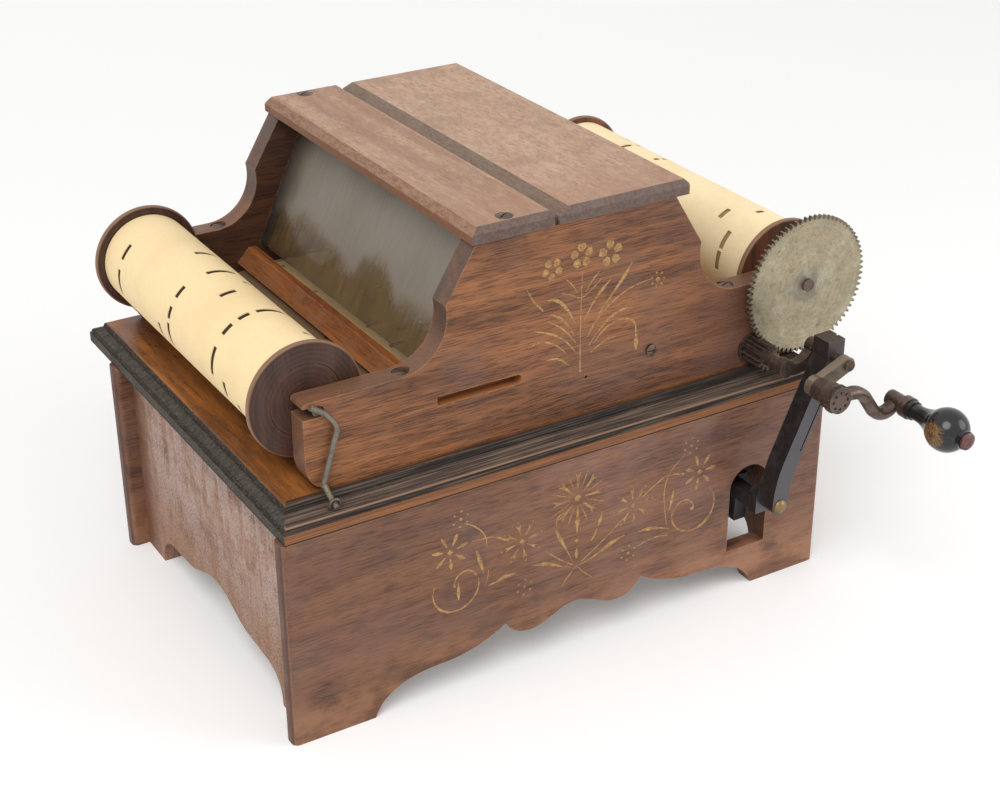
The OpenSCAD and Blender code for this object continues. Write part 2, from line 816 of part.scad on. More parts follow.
// A roof board's section with bevels of the given widths on its two upper edges
module bevelled_outline(low, high, z_low, z_high, bevel_low, bevel_high, drop_low, drop_high) {
    polygon([
        [low, z_low],
        [low, z_high - drop_low],
        [low + bevel_low, z_high],
        [high - bevel_high, z_high],
        [high, z_high - drop_high],
        [high, z_low]
    ]);
}

module roof_piece(x_low, x_high, z_low, bevel_low, bevel_high, drop_low, drop_high) {
    intersection() {
        slab(roof_front_y, roof_back_y)
            bevelled_outline(x_low, x_high, z_low, roof_z, bevel_low, bevel_high, drop_low, drop_high);
        slab_along_x(x_low, x_high)
            bevelled_outline(roof_front_y, roof_back_y, z_low, roof_z,
                edge_bevel, edge_bevel, edge_bevel * 1.5, edge_bevel * 1.5);
    }
}

module roof_board() {
    color(roof_brown) place() difference() {
        roof_piece(
            roof_low_x, roof_high_x, cheek_top_z, edge_bevel * 1.6, edge_bevel, lid_drop, edge_bevel
        );
        for (y = [front_mid_y, back_mid_y]) {
            bar_z(roof_screw_x, y, cheek_top_z - 1, roof_z + 1, screw_shank_r);
            bar_z(roof_screw_x, y, roof_z - roof_screw_sink, roof_z + 1, screw_head_r);
        }
    }
}

module swell_lid() {
    color(roof_brown) place()
        roof_piece(
            lid_low_x, lid_high_x, cheek_top_z + lid_gap, lid_bevel, edge_bevel, lid_drop, edge_bevel
        );
}

// Leather strip glued into the groove, on which the lid folds
module hinge_leather() {
    color(leather) place() block(
        [roof_high_x, roof_front_y + 2, cheek_top_z],
        [lid_low_x - side_gap, roof_back_y - 2, roof_z - lid_drop]
    );
}

// Round or flat headed screw standing on its tip, with its slot across the head
module screw(head_r, head_t, shank_r, shank_l) {
    dome_r = 2.2 * head_r;
    difference() {
        union() {
            translate([0, 0, -shank_l]) cylinder(h = shank_l + 0.1, r = shank_r - 0.05);
            intersection() {
                cylinder(h = head_t, r = head_r - 0.1);
                translate([0, 0, head_t - dome_r]) sphere(dome_r);
            }
        }
        translate([-head_r, -screw_slot_w / 2, head_t * 0.5]) cube([2 * head_r, screw_slot_w, head_t]);
    }
}

module roof_screws() {
    color(old_iron) place()
        for (y = [front_mid_y, back_mid_y])
            translate([roof_screw_x, y, roof_z - roof_screw_sink]) rotate(30)
                screw(screw_head_r, screw_head_t, screw_shank_r, screw_l);
}

module cheek_screws() {
    color(old_iron) place()
        for (side = [-1, 1], y = [front_mid_y, back_mid_y])
            translate([cheek_x + side * horn_screw_reach, y, horn_z - horn_screw_sink]) rotate(20 * side)
                screw(screw_head_r, screw_head_t, screw_shank_r, horn_rise + 8);
}

module chest_screws() {
    color(old_iron) place()
        for (front = [true, false])
            translate([chest_screw_x, front ? cheek_front_y : cheek_back_y, chest_screw_z])
                rotate([front ? 90 : -90, 0, 0])
                    screw(chest_screw_head_r, chest_screw_head_t, chest_screw_shank_r, cheek_t);
}

function note_y(i) = paper_front_y + (i + 0.5) * note_pitch;

// Chest with one cell for each note, open to the pan below
module reed_chest() {
    cell_w = note_pitch - cell_wall;
    color(inner_wood) place() difference() {
        block(
            [cheek_x - chest_reach, well_front_y, top_z + pan_t],
            [cheek_x + chest_reach, well_back_y, tracker_top_z - tracker_t]
        );
        for (i = [0:notes - 1]) {
            block(
                [cheek_x - cell_reach, note_y(i) - cell_w / 2, top_z + pan_t - 1],
                [cheek_x + cell_reach, note_y(i) + cell_w / 2, tracker_top_z - tracker_t - cell_roof]
            );
            block(
                [cheek_x - tracker_hole / 2, note_y(i) - tracker_hole / 2, top_z + pan_t],
                [cheek_x + tracker_hole / 2, note_y(i) + tracker_hole / 2, tracker_top_z]
            );
        }
    }
}

// Board under the reeds, with a wind slot for each
module reed_pan() {
    color(inner_wood) place() difference() {
        block([cheek_x - chest_reach, well_front_y, top_z], [cheek_x + chest_reach, well_back_y, top_z + pan_t]);
        for (i = [0:notes - 1])
            block(
                [cheek_x - wind_slot_reach, note_y(i) - wind_slot_w / 2, top_z - 1],
                [cheek_x + wind_slot_reach, note_y(i) + wind_slot_w / 2, top_z + pan_t + 1]
            );
    }
}

// Brass reeds over the wind slots: a frame with its tongue
module reeds() {
    rivet_end = 8;
    free_end = 4;
    color(old_brass) place()
        for (i = [0:notes - 1]) {
            reach = reed_reach - reed_step * i;
            translate([cheek_x, note_y(i), top_z + pan_t]) {
                difference() {
                    block([-reach, -reed_w / 2, 0], [reach, reed_w / 2, reed_t]);
                    block(
                        [-reach + rivet_end, -wind_slot_w / 2, -1],
                        [reach - free_end, wind_slot_w / 2, reed_t + 1]
                    );
                }
                block(
                    [-reach + 2, -tongue_w / 2, reed_t],
                    [reach - free_end - 1, tongue_w / 2, reed_t + tongue_t]
                );
            }
        }
}

// Board with the row of holes that the paper covers
module tracker_board() {
    color(inner_wood) place() difference() {
        slab(well_front_y, well_back_y) translate([cheek_x, 0])
            bevelled_outline(-tracker_reach, tracker_reach, tracker_top_z - tracker_t, tracker_top_z,
                tracker_bevel, tracker_bevel, tracker_bevel / 2, tracker_bevel / 2);
        for (i = [0:notes - 1])
            block(
                [cheek_x - tracker_hole / 2, note_y(i) - tracker_hole / 2, tracker_top_z - tracker_t - 1],
                [cheek_x + tracker_hole / 2, note_y(i) + tracker_hole / 2, tracker_top_z + 1]
            );
    }
}

// Where a line from a point touches a circle; side picks one of the two places
function touch(point, centre, r, side) =
    let (
        away = point - centre,
        angle = atan2(away.y, away.x) + side * acos(r / norm(away))
    )
    centre + r * [cos(angle), sin(angle)];

module paper_web() {
    low_left = [web_left_x, web_z];
    low_right = [web_right_x, web_z];
    feed_touch = touch(low_left, [feed_x, spool_z], feed_paper_r + paper_gap + web_t, -1);
    takeup_touch = touch(low_right, [takeup_x, spool_z], takeup_paper_r + paper_gap + web_t, 1);
    lift = [0, web_t];
    color(paper_cream) place() slab(paper_front_y, paper_back_y)
        polygon([
            feed_touch, low_left, low_right, takeup_touch,
            takeup_touch + lift, low_right + lift, low_left + lift, feed_touch + lift
        ]);
}

// Spool turned from wood: a core between two flanges with rounded rims and turned rings
module spool(x) {
    length = spool_back_y - spool_front_y;
    translate([x, spool_back_y, spool_z]) rotate([90, 0, 0])
        difference() {
            rotate_extrude() {
                square([core_r, length]);
                for (low = [0, length - flange_t]) {
                    translate([0, low]) square([flange_r - rim_r, flange_t]);
                    translate([0, low + rim_r]) square([flange_r, flange_t - 2 * rim_r]);
                    for (side = [rim_r, flange_t - rim_r])
                        translate([flange_r - rim_r, low + side]) circle(rim_r);
                }
            }
            for (face = [0, length])
                translate([0, 0, face]) rotate_extrude() translate([turned_ring_r, 0]) circle(0.5, $fn = 16);
            for (low = [-1, length - core_seat - flange_t])
                translate([0, 0, low]) cylinder(h = core_seat + flange_t + 1, r = arbor_r);
        }
}

module paper_roll(x, r) {
    slab(paper_front_y, paper_back_y) translate([x, spool_z]) difference() {
        circle(r, $fn = 96);
        circle(core_r + 0.1);
    }
}

module feed_spool() {
    color(spool_brown) place() spool(feed_x);
}

module feed_paper() {
    color(paper_cream) place() paper_roll(feed_x, feed_paper_r);
}

module feed_arbors() {
    color(old_iron) place() {
        bar_y(feed_x, spool_z, cheek_front_y + 1, spool_front_y + flange_t + core_seat, arbor_r);
        bar_y(feed_x, spool_z, spool_back_y - flange_t - core_seat, cheek_back_y - 1, arbor_r);
    }
}

module takeup_spool() {
    color(spool_brown) place() spool(takeup_x);
}

module takeup_paper() {
    color(paper_cream) place() paper_roll(takeup_x, takeup_paper_r);
}

module takeup_arbors() {
    rear_end_y = well_back_y + rear_bore_depth - 0.5;
    color(old_iron) place() {
        bar_y(takeup_x, spool_z, gear_front_y, spool_front_y + flange_t + core_seat, arbor_r);
        bar_y(takeup_x, spool_z, gear_front_y - pin_end, gear_front_y, arbor_r + 0.6);
        bar_y(takeup_x, spool_z, spool_back_y - flange_t - core_seat, rear_end_y, arbor_r);
    }
}

// Involute teeth: half of a tooth's angle at radius r
function involute(angle) = tan(angle) * 180 / PI - angle;

function half_tooth(r, teeth, shift) =
    let (
        pitch_r = tooth_module * teeth / 2,
        base_r = pitch_r * cos(pressure_angle),
        width = tooth_module * (PI / 2 + 2 * shift * tan(pressure_angle)) - 2 * tooth_play,
        angle_r = r > base_r ? acos(base_r / r) : 0
    )
    width / pitch_r / 2 * 180 / PI + involute(pressure_angle) - involute(angle_r);

function tooth_flank(teeth, shift, steps) =
    let (
        root_r = tooth_module * (teeth / 2 - 1.25 + shift),
        tip_r = tooth_module * (teeth / 2 + 1 + shift),
        base_r = max(root_r + 0.01, tooth_module * teeth / 2 * cos(pressure_angle))
    )
    concat(
        [[root_r, half_tooth(base_r, teeth, shift)]],
        [for (i = [0:steps]) let (r = base_r + (tip_r - base_r) * i / steps) [r, half_tooth(r, teeth, shift)]]
    );

function gear_points(teeth, shift, steps, start) =
    let (flank = tooth_flank(teeth, shift, steps), last = len(flank) - 1)
    [for (tooth = [0:teeth - 1], side = [-1, 1], i = [0:last])
        let (
            spot = side < 0 ? flank[i] : flank[last - i],
            angle = start + tooth * 360 / teeth + side * spot[1]
        )
        spot[0] * [cos(angle), sin(angle)]];

module spool_gear() {
    color(nickel) place() slab(gear_front_y, gear_back_y) translate([takeup_x, spool_z]) difference() {
        polygon(gear_points(gear_teeth, -tooth_shift, 3, mesh_angle));
        circle(arbor_r);
    }
}

// Hub between the gear and the cheek
module gear_hub() {
    color(old_brass) place() slab(gear_back_y, cheek_front_y - side_gap) translate([takeup_x, spool_z])
        difference() {
            circle(hub_r);
            circle(arbor_r);
        }
}

module pinion() {
    color(old_iron) place() slab(pinion_front_y, pinion_back_y) translate([crank_x, crank_z]) difference() {
        polygon(gear_points(pinion_teeth, tooth_shift, 5, mesh_angle - 180 + 180 / pinion_teeth));
        circle(shaft_r);
    }
}

module crank_bushing() {
    color(old_brass) place() difference() {
        union() {
            bar_y(crank_x, crank_z, cheek_front_y - bushing_flange_t, cheek_front_y, bushing_flange_r);
            bar_y(crank_x, crank_z, cheek_front_y, well_front_y, bushing_r);
        }
        bar_y(crank_x, crank_z, cheek_front_y - 5, well_front_y + 1, shaft_r + running);
    }
}

// Rounded bar between the crank's axis and its pin
module crank_web_outline(axis_r, pin_r) {
    translate([crank_x, crank_z]) circle(axis_r);
    translate([crank_pin_x, crank_pin_z]) circle(pin_r);
    translate([crank_x, crank_z]) rotate(throw_angle)
        translate([0, -pin_r]) square([throw, 2 * pin_r]);
}

// Inner web, bowed like a hook from the shaft up to the pin
module bowed_web_outline() {
    bow_r = throw / 2 / sin(bow_angle);
    translate([crank_x, crank_z]) rotate(throw_angle) {
        circle(bow_shaft_boss_r);
        translate([throw, 0]) circle(bow_pin_boss_r);
        intersection() {
            translate([throw / 2, bow_r * cos(bow_angle)]) difference() {
                circle(bow_r + bow_w / 2);
                circle(bow_r - bow_w / 2);
            }
            translate([0, -throw]) square([throw, throw]);
        }
    }
}

module crankshaft() {
    color(old_iron) place() {
        bar_y(crank_x, crank_z, web_back_y, shaft_in_y, shaft_r);
        slab(web_front_y, web_back_y) bowed_web_outline();
        bar_y(crank_pin_x, crank_pin_z, outer_front_y - pin_end, web_front_y, crank_pin_r);
    }
}

module shaft_collar() {
    color(old_iron) place() slab(well_front_y + side_gap, well_front_y + side_gap + collar_t)
        translate([crank_x, crank_z]) difference() {
            circle(collar_r);
            circle(shaft_r);
        }
}

module outer_web() {
    color([0.55, 0.47, 0.38]) place() difference() {
        slab(outer_front_y, outer_back_y) crank_web_outline(outer_shaft_boss_r, outer_pin_boss_r);
        bar_y(crank_pin_x, crank_pin_z, outer_front_y - 1, outer_back_y + 1, crank_pin_r);
    }
}

// Rounded section of the crank arm, wider front to back than across
module arm_section(width, depth_change = 0) {
    flat = arm_depth - arm_w + depth_change;
    translate([-width / 2, -flat / 2]) square([width, flat]);
    for (side = [-1, 1])
        translate([0, side * flat / 2]) circle(width / 2);
}

// A bent stretch of the arm: it starts at a point, with the given heading, and turns up or down
module arm_bend(at, heading, r, turn) {
    side = sign(turn);
    translate([at.x - side * r * sin(heading), 0, at.y + side * r * cos(heading)]) rotate([90, 0, 0])
        rotate([0, 0, turn > 0 ? heading - 90 : heading + 90 + turn]) rotate_extrude(angle = abs(turn))
            translate([r, 0]) arm_section(arm_w);
}

// A straight stretch, a little slimmer, that runs into the pieces at its ends
module arm_straight(at, heading, length) {
    lap = 0.5;
    translate([at.x, 0, at.y]) rotate([0, -heading, 0]) translate([-lap, 0, 0]) rotate([90, 0, 90])
        linear_extrude(length + 2 * lap) rotate(90) arm_section(arm_w - 0.1, -0.1);
}

// The arm leaves the rosette level, drops in a bend and comes up in a hook to the knob
module crank_arm() {
    hook_end = 6;
    drop = knob_drop - (arm_bend_r + arm_hook_r) * (1 - cos(arm_dip))
        + arm_hook_r * (1 - cos(arm_lift)) + hook_end * sin(arm_lift);
    slant_l = drop / sin(arm_dip);
    bend_run = [arm_bend_r * sin(arm_dip), arm_bend_r * (cos(arm_dip) - 1)];
    slant_run = slant_l * [cos(arm_dip), -sin(arm_dip)];
    hook_run = arm_hook_r * [sin(arm_dip) + sin(arm_lift), cos(arm_dip) - cos(arm_lift)];
    end_run = hook_end * [cos(arm_lift), sin(arm_lift)];
    bend_at = [knob_dx, -knob_drop] - end_run - hook_run - slant_run - bend_run;
    slant_at = bend_at + bend_run;
    hook_at = slant_at + slant_run;
    color(old_iron) place() difference() {
        union() {
            bar_y(crank_x, crank_z, arm_back_y, outer_front_y, barrel_r);
            bar_y(crank_x, crank_z, arm_front_y, arm_back_y, rosette_r);
            bar_y(crank_x, crank_z, arm_front_y + 2.5, arm_front_y + 4, rosette_r + 0.7);
            translate([crank_x, (arm_front_y + arm_back_y) / 2, crank_z]) {
                arm_straight([1, 0], 0, bend_at.x - 1);
                arm_bend(bend_at, 0, arm_bend_r, -arm_dip);
                arm_straight(slant_at, -arm_dip, slant_l);
                arm_bend(hook_at, -arm_dip, arm_hook_r, arm_dip + arm_lift);
                arm_straight(hook_at + hook_run, arm_lift, hook_end - 1);
            }
            bar_y(knob_x, knob_z, arm_front_y - arm_boss_l, arm_back_y + 1, arm_boss_r);
        }
        for (i = [0:petals - 1])
            translate([crank_x, arm_front_y, crank_z]) rotate([90, i * 360 / petals, 0])
                translate([petal_ring_r, 0, -0.7]) cylinder(h = 2, r = petal_r, $fn = 24);
        bar_y(knob_x, knob_z, arm_front_y - 2, arm_back_y + 2, spindle_r);
    }
}

module knob_spindle() {
    color([0.45, 0.33, 0.3]) place() {
        bar_y(knob_x, knob_z, knob_front_y - side_gap, arm_back_y, spindle_r);
        translate([knob_x, knob_front_y - side_gap, knob_z]) rotate([90, 0, 0]) intersection() {
            cylinder(h = cap_t - side_gap, r = cap_r);
            translate([0, 0, cap_t - cap_dome_r]) sphere(cap_dome_r - side_gap);
        }
    }
}

// Knob turned from hardwood: a ball that flares from a slim neck
module crank_knob() {
    ball_y = knob_l - knob_r * 0.86 - 3.5;
    flare = 24;
    color(black_iron) place() translate([knob_x, knob_back_y, knob_z]) rotate([90, 0, 0])
        rotate_extrude() difference() {
            union() {
                square([knob_neck_r, ball_y]);
                translate([0, ferrule_t]) square([knob_neck_r + 0.8, 3]);
                translate([0, ball_y]) circle(knob_r);
                difference() {
                    translate([0, 10]) square([knob_r * 0.8, ball_y - 12]);
                    translate([knob_neck_r + flare, 10]) circle(flare);
                }
                translate([0, ball_y]) square([5, knob_l - ball_y]);
            }
            translate([-2 * knob_r, -knob_r]) square([2 * knob_r, knob_l + 2 * knob_r]);
            translate([0, -1]) square([spindle_r + running, knob_l + 2]);
        }
}

module knob_ferrule() {
    color(old_brass) place() slab(knob_back_y - ferrule_t, knob_back_y) translate([knob_x, knob_z])
        difference() {
            circle(ferrule_r);
            circle(knob_neck_r);
        }
}

module rod_outline() {
    translate([rod_eye_x, rod_eye_z]) circle(rod_w / 2);
    translate([rod_eye_x - rod_w / 2, rod_eye_z - 1]) square([rod_w, 1]);
    intersection() {
        translate([rod_eye_x + rod_bend_r, rod_eye_z]) difference() {
            circle(rod_bend_r + rod_w / 2, $fn = 96);
            circle(rod_bend_r - rod_w / 2, $fn = 96);
        }
        translate([rod_eye_x + rod_bend_r, rod_eye_z]) polygon([
            [0, 0],
            [-3 * rod_bend_r, 0],
            [-3 * rod_bend_r * cos(rod_lean), 3 * rod_bend_r * sin(rod_lean)]
        ]);
    }
    translate([crank_pin_x, crank_pin_z]) rotate(-90 - rod_lean)
        translate([0, -rod_w / 2]) square([rod_straight + 0.5, rod_w]);
    translate([crank_pin_x - rod_head_w / 2, crank_pin_z - rod_head_low])
        square([rod_head_w, rod_head_low + rod_head_top]);
}

module connecting_rod() {
    color(black_iron) place() difference() {
        slab(rod_front_y, rod_back_y) rod_outline();
        bar_y(crank_pin_x, crank_pin_z, rod_front_y - 1, rod_back_y + 1, crank_pin_r + running);
        bar_y(rod_eye_x, rod_eye_z, rod_front_y - 1, rod_back_y + 1, rod_pin_r);
        translate([crank_pin_x, rod_front_y - 1, crank_pin_z]) rotate([0, 90 + rod_lean, 0])
            translate([rod_slit_start, 0, rod_w / 4]) cube([rod_slit_l, rod_slit_depth + 1, rod_slit_w]);
        block(
            [crank_pin_x + crank_pin_r + 0.5, rod_mid_y - rod_head_slot / 2, crank_pin_z - 2 * rod_head_w],
            [crank_pin_x + 2 * rod_head_w, rod_mid_y + rod_head_slot / 2, crank_pin_z + 2 * rod_head_w]
        );
    }
}

// Brass screw through the lower end of the rod
module rod_pin() {
    color(old_brass) place() {
        bar_y(rod_eye_x, rod_eye_z, rod_front_y, rod_back_y, rod_pin_r);
        translate([rod_eye_x, rod_front_y, rod_eye_z]) rotate([90, 0, 0]) intersection() {
            cylinder(h = rod_pin_head_t, r = rod_pin_head_r);
            translate([0, 0, -rod_pin_head_t]) sphere(5);
        }
    }
}

// Puts a piece that is drawn with its bellows closed at its angle under the fixed board
module opened(angle) {
    translate([0, hinge_y, hinge_z]) rotate([angle, 0, 0]) children();
}

module bellows_arm() {
    color(black_iron) place() {
        difference() {
            slab(eye_front_y, eye_back_y) {
                translate([rod_eye_x, rod_eye_z]) circle(bar_w / 2 + eye_boss);
                translate([rod_eye_x - bar_w / 2 - eye_boss, arm_z - bar_w / 2])
                    square([bar_w + 2 * eye_boss, rod_eye_z - arm_z + bar_w / 2]);
            }
            bar_y(rod_eye_x, rod_eye_z, eye_front_y - 1, eye_back_y + 1, rod_pin_r + 0.1);
        }
        block(
            [rod_eye_x - bar_w / 2, eye_back_y, arm_z - bar_w / 2],
            [rod_eye_x + bar_w / 2, riser_back_y, arm_z + bar_w / 2]
        );
        block(
            [rod_eye_x - bar_w / 2, riser_front_y, arm_z - bar_w / 2],
            [riser_x + bar_w / 2, riser_back_y, arm_z + bar_w / 2]
        );
        block(
            [riser_x - bar_w / 2, riser_front_y, riser_low_z],
            [riser_x + bar_w / 2, riser_back_y, arm_z]
        );
        opened(feeder_open)
            block(
                [riser_x - arm_foot_w / 2, arm_foot_y, -board_low - arm_foot_t],
                [riser_x + arm_foot_w / 2, arm_foot_y + arm_foot_l, -board_low]
            );
    }
}

module arm_screws() {
    color(old_iron) place() opened(feeder_open)
        for (y = [-bellows_l + 8, -bellows_l + 30])
            translate([riser_x, y, -board_low - arm_foot_t]) rotate([180, 0, 0])
                cylinder(h = arm_screw_t, r = arm_screw_r);
}

module bellows_board(x_low, x_high) {
    block([x_low, -bellows_l, -board_low], [x_high, -bellows_start, -board_drop]);
}

module feeder_board() {
    color(inner_wood) place() opened(feeder_open) difference() {
        bellows_board(feeder_low_x, feeder_high_x);
        for (x = inlet_x, y = inlet_y)
            bar_z(x, y, -board_low - 1, 0, inlet_r);
    }
}

// Leather flap over the feeder's inlet holes
module inlet_flap() {
    color(leather) place() opened(feeder_open) block(
        [inlet_x[0] - flap_lap, inlet_y[0] - flap_lap, -board_drop],
        [inlet_x[1] + flap_lap, inlet_y[1] + flap_lap, -board_drop + flap_t]
    );
}

module reservoir_board() {
    color(inner_wood) place() opened(reservoir_open) bellows_board(reservoir_low_x, reservoir_high_x);
}

// Wedge between the fixed board and an opened one, its front folded into pleats.
// It runs past both boards by the margin.
module cloth_wedge(x_low, x_high, angle, inset, margin) {
    front_l = bellows_l - inset;
    back_l = bellows_start + inset;
    function at(distance, share) = [
        hinge_y - distance * cos(angle * share),
        hinge_z - distance * sin(angle * share) - board_drop * (share == 1 ? cos(angle) : 0)
            + (share == 0 ? wind_z - hinge_z : 0)
    ];
    slab_along_x(x_low + inset, x_high - inset)
        polygon(concat(
            [at(back_l, 0) + [0, margin], at(front_l, 0) + [0, margin]],
            [for (i = [1:5]) at(front_l - (i % 2 == 1 ? pleat : 0), i / 6)],
            [at(front_l, 1) - [0, margin], at(back_l, 1) - [0, margin]]
        ));
}

module feeder_cloth() {
    color(dark_cloth) place() difference() {
        cloth_wedge(feeder_low_x, feeder_high_x, feeder_open, cloth_inset, 0);
        cloth_wedge(feeder_low_x, feeder_high_x, feeder_open, cloth_inset + pleat + cloth_wall, 2);
    }
}

module reservoir_cloth() {
    color(dark_cloth) place() difference() {
        cloth_wedge(reservoir_low_x, reservoir_high_x, reservoir_open, cloth_inset, 0);
        cloth_wedge(reservoir_low_x, reservoir_high_x, reservoir_open, cloth_inset + pleat + cloth_wall, 2);
    }
}

// Leather strips that the moving boards fold on
module bellows_hinge(x_low, x_high) {
    block(
        [x_low + cloth_inset, hinge_y + 0.5, hinge_strip_low_z],
        [x_high - cloth_inset, hinge_y + 0.5 + hinge_strip_t, wind_z]
    );
}

module feeder_hinge() {
    color(leather) place() bellows_hinge(feeder_low_x, feeder_high_x);
}

module reservoir_hinge() {
    color(leather) place() bellows_hinge(reservoir_low_x, reservoir_high_x);
}

// Bent leaf spring inside the reservoir that pushes it open
module reservoir_spring() {
    mid_x = (reservoir_low_x + reservoir_high_x) / 2;
    tip_z = spring_tip_y * tan(reservoir_open) + spring_t;
    color(old_iron) place() slab_along_x(mid_x - spring_w / 2, mid_x + spring_w / 2)
        translate([hinge_y, wind_z]) polygon([
            [spring_tip_y, 0],
            [spring_bend_y, 0],
            [spring_bend_y + 4, -2],
            [spring_bend_y + 4, -4],
            [spring_tip_y, tip_z],
            [spring_tip_y, tip_z + spring_t],
            [spring_bend_y + 1, -3.4],
            [spring_bend_y, -spring_t],
            [spring_tip_y, -spring_t]
        ]);
}

module wind_board() {
    color(inner_wood) place() difference() {
        block([-panel_in_x + 3, -panel_in_y + 6, wind_z], [panel_in_x - 3, panel_in_y - 3, wind_top_z]);
        wind_way(wind_z - 1, wind_top_z + 1, -wind_way_lip);
        block(
            [reservoir_low_x + port_inset, -port_half_w, wind_z - 1],
            [reservoir_high_x - port_inset, port_half_w, wind_top_z + 1]
        );
    }
}

// Frame that carries the fixed board and leads the wind up to the reeds
module wind_trunk() {
    color(inner_wood) place() difference() {
        block([trunk_low_x, -trunk_half_w, wind_top_z], [trunk_high_x, trunk_half_w, base_h]);
        block(
            [trunk_low_x + trunk_wall, -trunk_half_w + trunk_wall, wind_top_z - 1],
            [trunk_high_x - trunk_wall, trunk_half_w - trunk_wall, base_h + 1]
        );
    }
}

// Leather flap over the way from the feeder into the trunk
module outlet_flap() {
    color(leather) place() block(
        [cheek_x - outlet_reach, -outlet_half_w, wind_top_z],
        [cheek_x + outlet_reach, outlet_half_w, wind_top_z + flap_t]
    );
}

function unit(v) = v / norm(v);

// Points of a smooth line through the points of a path
function smooth(path, steps = 4) =
    let (last = len(path) - 1)
    concat(
        [for (i = [0:last - 1], k = [0:steps - 1])
            let (
                t = k / steps,
                a = path[max(i - 1, 0)],
                b = path[i],
                c = path[i + 1],
                d = path[min(i + 2, last)]
            )
            b + t * (c - a) / 2
                + t * t * (2 * a - 5 * b + 4 * c - d) / 2
                + t * t * t * (3 * b - 3 * c + d - a) / 2],
        [path[last]]
    );

// Tube along a path: rings of points, joined by triangles
module wire(path, r, sideways = [1, 0, 0], sides = 10) {
    last = len(path) - 1;
    rings = [for (i = [0:last], k = [0:sides - 1])
        let (
            along = unit(path[min(i + 1, last)] - path[max(i - 1, 0)]),
            across = unit(cross(along, sideways)),
            up = cross(along, across),
            angle = k * 360 / sides
        )
        path[i] + r * (cos(angle) * across + sin(angle) * up)];
    walls = [for (i = [0:last - 1], k = [0:sides - 1], half = [0, 1])
        let (
            a = i * sides + k,
            b = i * sides + (k + 1) % sides
        )
        half == 0 ? [a, a + sides, b] : [b, a + sides, b + sides]];
    caps = [
        [for (k = [0:sides - 1]) k],
        [for (k = [sides - 1:-1:0]) last * sides + k]
    ];
    polyhedron(points = rings, faces = concat(walls, caps));
}

module spool_catch() {
    color(old_iron) place() wire(catch_line, wire_r);
}

// Staple over the foot of the catch wire, driven into the top board
module staple_legs(z_high) {
    for (side = [-1, 1])
        bar_z(staple_at.x + side * staple_reach, staple_at.y, staple_low_z, z_high, staple_r);
}

module catch_staple() {
    leg_z = staple_low_z - staple_at.z;
    bow = [for (angle = [180:-15:0]) staple_reach * [cos(angle), 0, sin(angle)]];
    path = concat([[-staple_reach, 0, leg_z]], bow, [[staple_reach, 0, leg_z]]);
    color(old_iron) place() translate(staple_at) wire(path, staple_r, sideways = [0, 1, 0]);
}

front_panel();
back_panel();
left_panel();
right_panel();
corner_blocks();
top_board();
front_cheek();
back_cheek();
feed_rail();
takeup_rail();
roof_board();
swell_lid();
hinge_leather();
window_glass();
slope_board();
roof_screws();
cheek_screws();
chest_screws();
reed_chest();
reed_pan();
reeds();
tracker_board();
paper_web();
feed_spool();
feed_arbors();
feed_paper();
takeup_spool();
takeup_arbors();
takeup_paper();
spool_gear();
gear_hub();
crank_bushing();
crankshaft();
pinion();
shaft_collar();
outer_web();
crank_arm();
knob_spindle();
crank_knob();
knob_ferrule();
connecting_rod();
rod_pin();
bellows_arm();
arm_screws();
feeder_board();
feeder_cloth();
feeder_hinge();
reservoir_board();
reservoir_cloth();
reservoir_hinge();
reservoir_spring();
wind_board();
wind_trunk();
outlet_flap();
inlet_flap();
spool_catch();
catch_staple();
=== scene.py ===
"""Looks of a hand-cranked table organette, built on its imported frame."""

import json
import math
import random

import bmesh
import bpy
from mathutils import Matrix, Vector


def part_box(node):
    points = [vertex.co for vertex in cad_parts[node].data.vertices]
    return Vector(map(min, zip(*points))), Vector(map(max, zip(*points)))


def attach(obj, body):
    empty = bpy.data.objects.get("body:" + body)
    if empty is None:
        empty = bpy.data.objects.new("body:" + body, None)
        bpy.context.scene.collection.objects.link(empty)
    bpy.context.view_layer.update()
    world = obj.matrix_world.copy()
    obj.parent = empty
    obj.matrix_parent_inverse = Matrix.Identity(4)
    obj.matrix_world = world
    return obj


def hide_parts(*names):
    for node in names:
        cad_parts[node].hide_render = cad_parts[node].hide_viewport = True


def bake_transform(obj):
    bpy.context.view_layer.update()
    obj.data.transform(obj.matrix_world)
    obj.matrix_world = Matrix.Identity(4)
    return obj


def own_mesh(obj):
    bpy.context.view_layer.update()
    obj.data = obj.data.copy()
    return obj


bl_info = {
    "name": "Roll organette",
    "version": (1, 0, 0),
    "blender": (4, 5, 0),
    "location": "3D View > Sidebar > Organette",
    "description": "Dresses a hand-cranked table organette that plays a paper roll",
    "category": "Object",
}

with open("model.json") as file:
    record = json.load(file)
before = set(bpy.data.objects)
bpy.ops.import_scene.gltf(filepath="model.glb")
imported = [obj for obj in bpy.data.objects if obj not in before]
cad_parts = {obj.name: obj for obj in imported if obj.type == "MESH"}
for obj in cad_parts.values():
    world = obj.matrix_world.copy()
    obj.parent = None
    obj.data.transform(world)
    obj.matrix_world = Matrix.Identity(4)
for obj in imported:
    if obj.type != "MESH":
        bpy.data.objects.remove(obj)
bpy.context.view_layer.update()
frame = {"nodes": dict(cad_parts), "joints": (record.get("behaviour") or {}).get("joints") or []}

MM = 0.001
FULL_TURN = 2 * math.pi

# Places of the pieces that others are set by, in metres
panel_low, panel_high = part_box("front_panel")
back_low, back_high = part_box("back_panel")
cheek_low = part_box("front_cheek")[0]
top_low, top_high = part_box("top_board")
MIDDLE_X = (panel_low.x + panel_high.x) / 2
MIDDLE_Y = (panel_low.y + back_high.y) / 2
BASE_H = panel_high.z


# Settings

